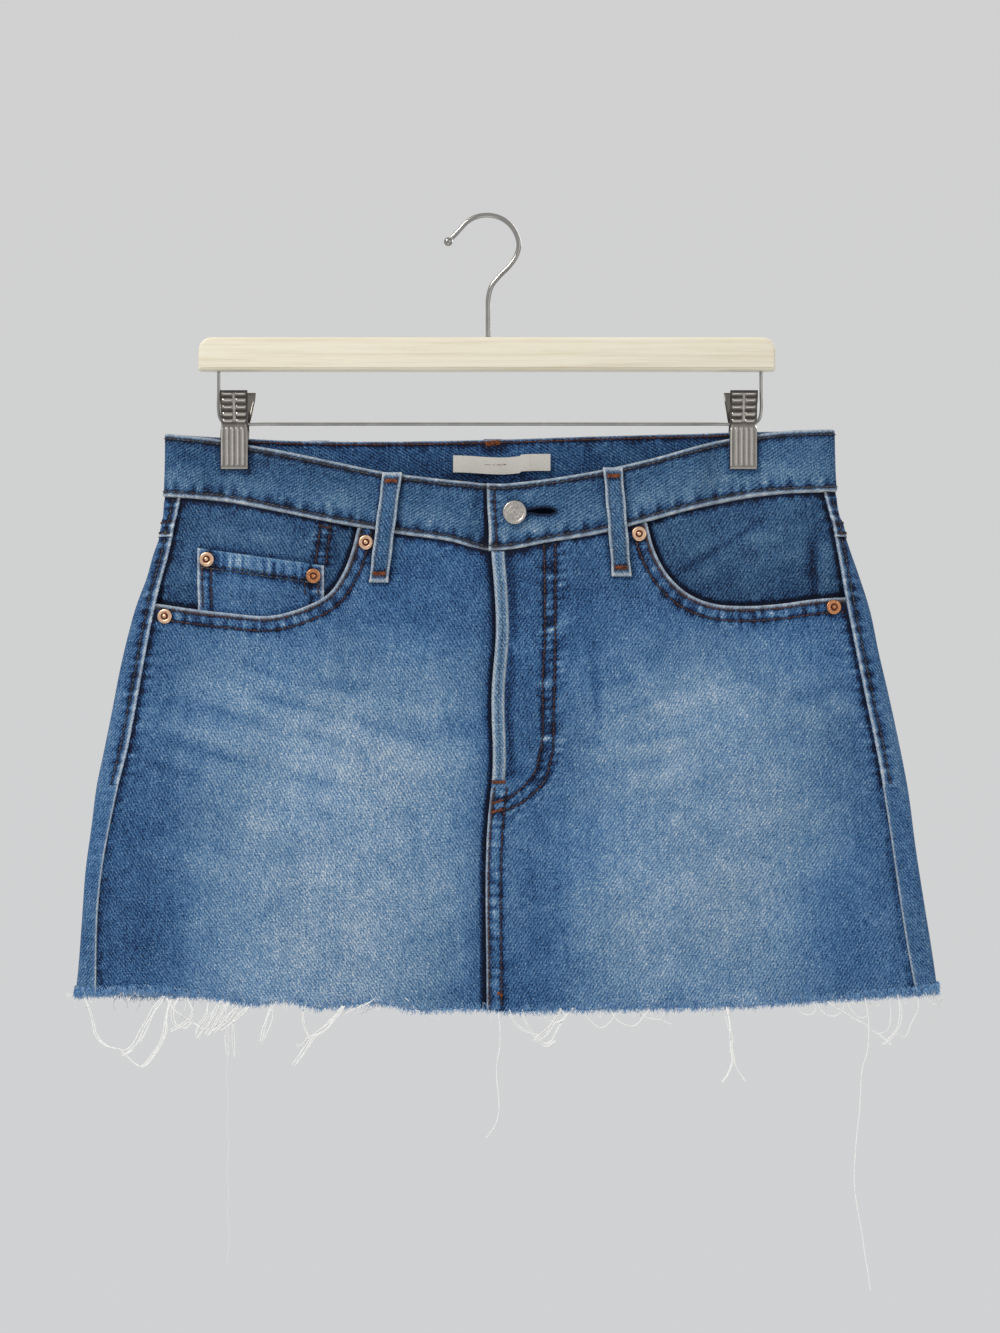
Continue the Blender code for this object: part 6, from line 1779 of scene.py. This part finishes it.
# a small ferrule where the stem enters the wood
turned("hook_ferrule", np.array([0.0, 0.0, -74.4]), (0, 0.0001, 1), [(0, 0), (2.9, 0), (2.9, 0.3), (2.4, 0.8), (1.7, 0.95), (0, 0.95)], [M_STEEL], (), 32)
a_ = np.linspace(0, math.pi, 22)
turned("hook_tip_ball", np.array([-24.55, 0.0, -14.85]), (0.70, 0.0, 0.71), [(max(2.7 * math.sin(t), 0 if i in (0, 21) else 1e-3), -2.7 * math.cos(t)) for i, t in enumerate(a_)],
       [M_STEEL], ("hook_tip",), 36)
ux = (-165.7, 167.8)
corner = [(ux[0], -94.2), (ux[0], -108.0), (ux[0], -119.5), (ux[0] + 0.5, -122.6), (ux[0] + 2.0, -125.2), (ux[0] + 4.6, -126.7), (ux[0] + 8, WIRE_Z),
          (ux[0] + 30.0, WIRE_Z), (0.0, WIRE_Z), (ux[1] - 30.0, WIRE_Z), (ux[1] - 8.0, WIRE_Z),
          (ux[1] - 4.6, -126.7), (ux[1] - 2.0, -125.2), (ux[1] - 0.5, -122.6), (ux[1], -119.5), (ux[1], -108.0), (ux[1], -94.2)]
tubes("clip_wire_steel", [smooth_path(corner, 260)], [1.0], M_STEEL, "hanger_steel", 16, cad=("clip_wire",))

# ------------------------------------------------------------------ hanger: clips
PLATE = 1.2
JAW_IN = PINCH + BAND_OUT + GAP + 0.15
JAW = [(0.0, CLIP_LOW), (0.0, -141.0), (0.4, -133.5), (0.4, WIRE_Z), (0.5, -121.5), (3.4, -113.0), (5.2, CLIP_TOP)]
jaw_y = Curve([(z, y) for y, z in JAW])


# clip plates: raised ribs, ridges, lip and bend are painted bright and the hollows and rims dark, a painted highlight
# and shade; the noise over it is wear
n_ = Nodes("clip_plate")
wear_ = n_.noise(n_.obj(), 300.0, 3.0)
n_.link(n_.mix(n_.math("MINIMUM", n_.math("ADD", n_.attr("relief_highlight_shade"), n_.math("MULTIPLY", n_.math("SUBTRACT", wear_, 0.5), 0.3)), 1.0),
               srgb(78, 74, 70), srgb(184, 178, 171)), n_.p.inputs["Base Color"])
n_.p.inputs["Metallic"].default_value = 1.0
n_.p.inputs["Roughness"].default_value = 0.24
n_.bump(wear_, 0.2, 0.00002)
M_PLATE = n_.mat


def jaw(name, cx, sign, cad, askew=0.0):
    nx, nz = (61, 124) if sign < 0 else (45, 96)
    u = np.linspace(-1, 1, nx)
    z = np.linspace(CLIP_LOW, CLIP_TOP, nz)
    U, Z = np.meshgrid(u, z, indexing="ij")
    # four upright ribs below, two columns of level ridges above
    X = U * CLIP_W / 2
    low = smooth(-153.5, -151.5, Z) * (1 - smooth(-131.0, -128.5, Z))
    ribs = sum(np.exp(-((X - c) / 0.75) ** 4) for c in (-4.8, -1.6, 1.6, 4.8)) * low * 0.55
    up = smooth(-126.5, -125.5, Z) * (1 - smooth(-109.0, -108.4, Z))
    cols = np.exp(-((np.abs(X) - 4.1) / 3.1) ** 8)
    rows_ = np.clip(np.sin((Z + 126.4) / 4.1 * 2 * math.pi), 0, 1) ** 0.5
    middle = np.exp(-(X / 0.75) ** 4) * up
    ridges = cols * rows_ * up * 0.9 + 0.35 * middle
    lip = 0.45 * np.exp(-((Z - CLIP_LOW) / 0.9) ** 2)
    border = 0.35 * np.exp(-((np.abs(X) - 8.0) / 0.55) ** 4) * smooth(-154, -152, Z) * (1 - smooth(-129, -127, Z))
    edge = np.minimum(CLIP_W / 2 - np.abs(X), np.minimum(Z - CLIP_LOW, CLIP_TOP - Z))
    waist = 1 - 0.06 * np.exp(-((Z + 128.0) / 3.0) ** 2)
    y_out = JAW_IN + jaw_y(Z) + PLATE - 0.45 + ribs + ridges + border + lip * 0 - roll(edge, 0.5)
    y_in = JAW_IN + jaw_y(Z) + 0.08 + roll(edge, 0.35)
    # the sides turn in towards the other jaw above the waist
    wrap = smooth(7.4, 8.5, np.abs(X)) * smooth(-131, -128, Z) * (1 - smooth(-116, -112, Z))
    y_out = y_out - 2.0 * wrap
    y_in = y_in - 2.0 * wrap
    X = X * waist
    if sign > 0:
        # the back plate sits a little askew on the wire, so its edge shows beside the front one
        X = X + askew * smooth(-136.0, CLIP_TOP, Z)
    outer = np.stack([cx + X, sign * y_out, Z], -1)
    inner = np.stack([cx + X, sign * y_in, Z], -1)
    verts = np.concatenate([outer.reshape(-1, 3), inner.reshape(-1, 3)])
    idx = np.arange(nx * nz).reshape(nx, nz)
    off = nx * nz
    a, b, c, d = idx[:-1, :-1].ravel(), idx[1:, :-1].ravel(), idx[1:, 1:].ravel(), idx[:-1, 1:].ravel()
    f1, f2 = np.stack([a, b, c, d], -1), np.stack([a, d, c, b], -1) + off
    rims = []
    t_, l_, le, ri = idx[:, 0], idx[:, -1], idx[0, :], idx[-1, :]
    rims.append(np.stack([t_[:-1], t_[:-1] + off, t_[1:] + off, t_[1:]], -1))
    rims.append(np.stack([l_[:-1], l_[1:], l_[1:] + off, l_[:-1] + off], -1))
    rims.append(np.stack([le[:-1], le[1:], le[1:] + off, le[:-1] + off], -1))
    rims.append(np.stack([ri[:-1], ri[:-1] + off, ri[1:] + off, ri[1:]], -1))
    faces = np.concatenate([f1, f2, *rims])
    if sign > 0:
        faces = faces[:, ::-1]
    # painted highlight on the raised parts, painted shade in the hollows and at the rims
    relief_highlight_shade = np.clip(ribs / 0.55 + ridges / 0.7 + middle * 0.5 + border / 0.35 + 0.50 * low + 0.9 * (1 - smooth(0.9, 1.6, Z - CLIP_LOW)) * 0.7
                   + 0.45 * smooth(-151.6, -153.4, Z) + 0.5 * np.exp(-((Z + 128.6) / 1.6) ** 2), 0, 1)
    relief_highlight_shade = relief_highlight_shade * (0.25 + 0.75 * smooth(0.0, 0.9, edge))
    return build(name, verts, faces, [M_PLATE], attrs=dict(relief_highlight_shade=np.r_[relief_highlight_shade.ravel(), relief_highlight_shade.ravel() * 0 + 0.3]),
                 cad=cad, sharp=55)


for cx_, tag in zip(CLIP_X, ("left", "right")):
    jaw(f"clip_{tag}_front_plate", cx_, -1, (f"clip_{tag}_front_jaw",))
    jaw(f"clip_{tag}_back_plate", cx_, 1, (f"clip_{tag}_back_jaw",), 3.6 if tag == "left" else -2.5)
    bx = cx_ + (2.6 if tag == "left" else -2.6)
    # a wound spring round the wire
    turns, k = 7.0, 220
    t = np.linspace(0, 1, k)
    coil = np.stack([bx - 4.6 + 9.2 * t, 2.6 * np.cos(turns * 2 * math.pi * t), WIRE_Z + 2.6 * np.sin(turns * 2 * math.pi * t)], -1)
    legs = [np.array([[bx - 4.6, 2.6, WIRE_Z], [bx - 4.8, 4.0, WIRE_Z + 4], [bx - 4.8, 5.2, WIRE_Z + 9]])]
    tubes(f"clip_{tag}_coil", [coil], [0.6], M_STEEL, "hanger_steel", 10, cad=(f"clip_{tag}_spring",))

# ------------------------------------------------------------------ stage and lights
n_ = Nodes("studio_floor")
n_.link(n_.mix(n_.noise(n_.obj(), 3.0, 2.0), srgb(228, 229, 229), srgb(232, 233, 233)), n_.p.inputs["Base Color"])
n_.p.inputs["Roughness"].default_value = 0.9
bpy.ops.mesh.primitive_circle_add(vertices=96, radius=4.0, fill_type="NGON", location=(0, 0, -2.4))
floor = bpy.context.object
floor.name = "studio_floor"
floor.data.materials.append(n_.mat)

world = bpy.data.worlds.new("studio")
scene.world = world
world.use_nodes = True
wt = world.node_tree
bg = wt.nodes["Background"]
coord = wt.nodes.new("ShaderNodeTexCoord")
part = wt.nodes.new("ShaderNodeSeparateXYZ")
wt.links.new(coord.outputs["Generated"], part.inputs[0])
up = wt.nodes.new("ShaderNodeMapRange")
up.inputs["From Min"].default_value, up.inputs["From Max"].default_value = -0.20, 0.24
wt.links.new(part.outputs[2], up.inputs["Value"])
tone = wt.nodes.new("ShaderNodeValToRGB")
wt.links.new(up.outputs[0], tone.inputs[0])
tone.color_ramp.elements[0].color = (0.668, 0.676, 0.684, 1)
tone.color_ramp.elements[1].color = (0.665, 0.667, 0.664, 1)
wt.links.new(tone.outputs[0], bg.inputs["Color"])
bg.inputs["Strength"].default_value = 0.95


def area(name, loc, target, size, power, colour=(1, 1, 1)):
    d_ = bpy.data.lights.new(name, "AREA")
    d_.shape = "RECTANGLE"
    d_.size, d_.size_y = size
    d_.energy = power
    d_.color = colour
    o_ = bpy.data.objects.new(name, d_)
    scene.collection.objects.link(o_)
    o_.location = loc
    o_.rotation_euler = (Vector(target) - Vector(loc)).to_track_quat("-Z", "Y").to_euler()
    return o_


area("key", (-1.3, -1.2, 1.4), (0, 0, -0.3), (0.7, 0.7), 30.0, (1.0, 0.985, 0.96))
area("fill", (1.9, -2.0, 0.1), (0, 0, -0.3), (1.6, 1.6), 7.0, (0.96, 0.98, 1.0))
area("back_key", (1.4, 2.0, 0.9), (0, 0, -0.3), (1.4, 1.4), 24.0)
area("under", (0.0, -0.9, -1.6), (0, 0, -0.4), (1.2, 1.2), 3.0)
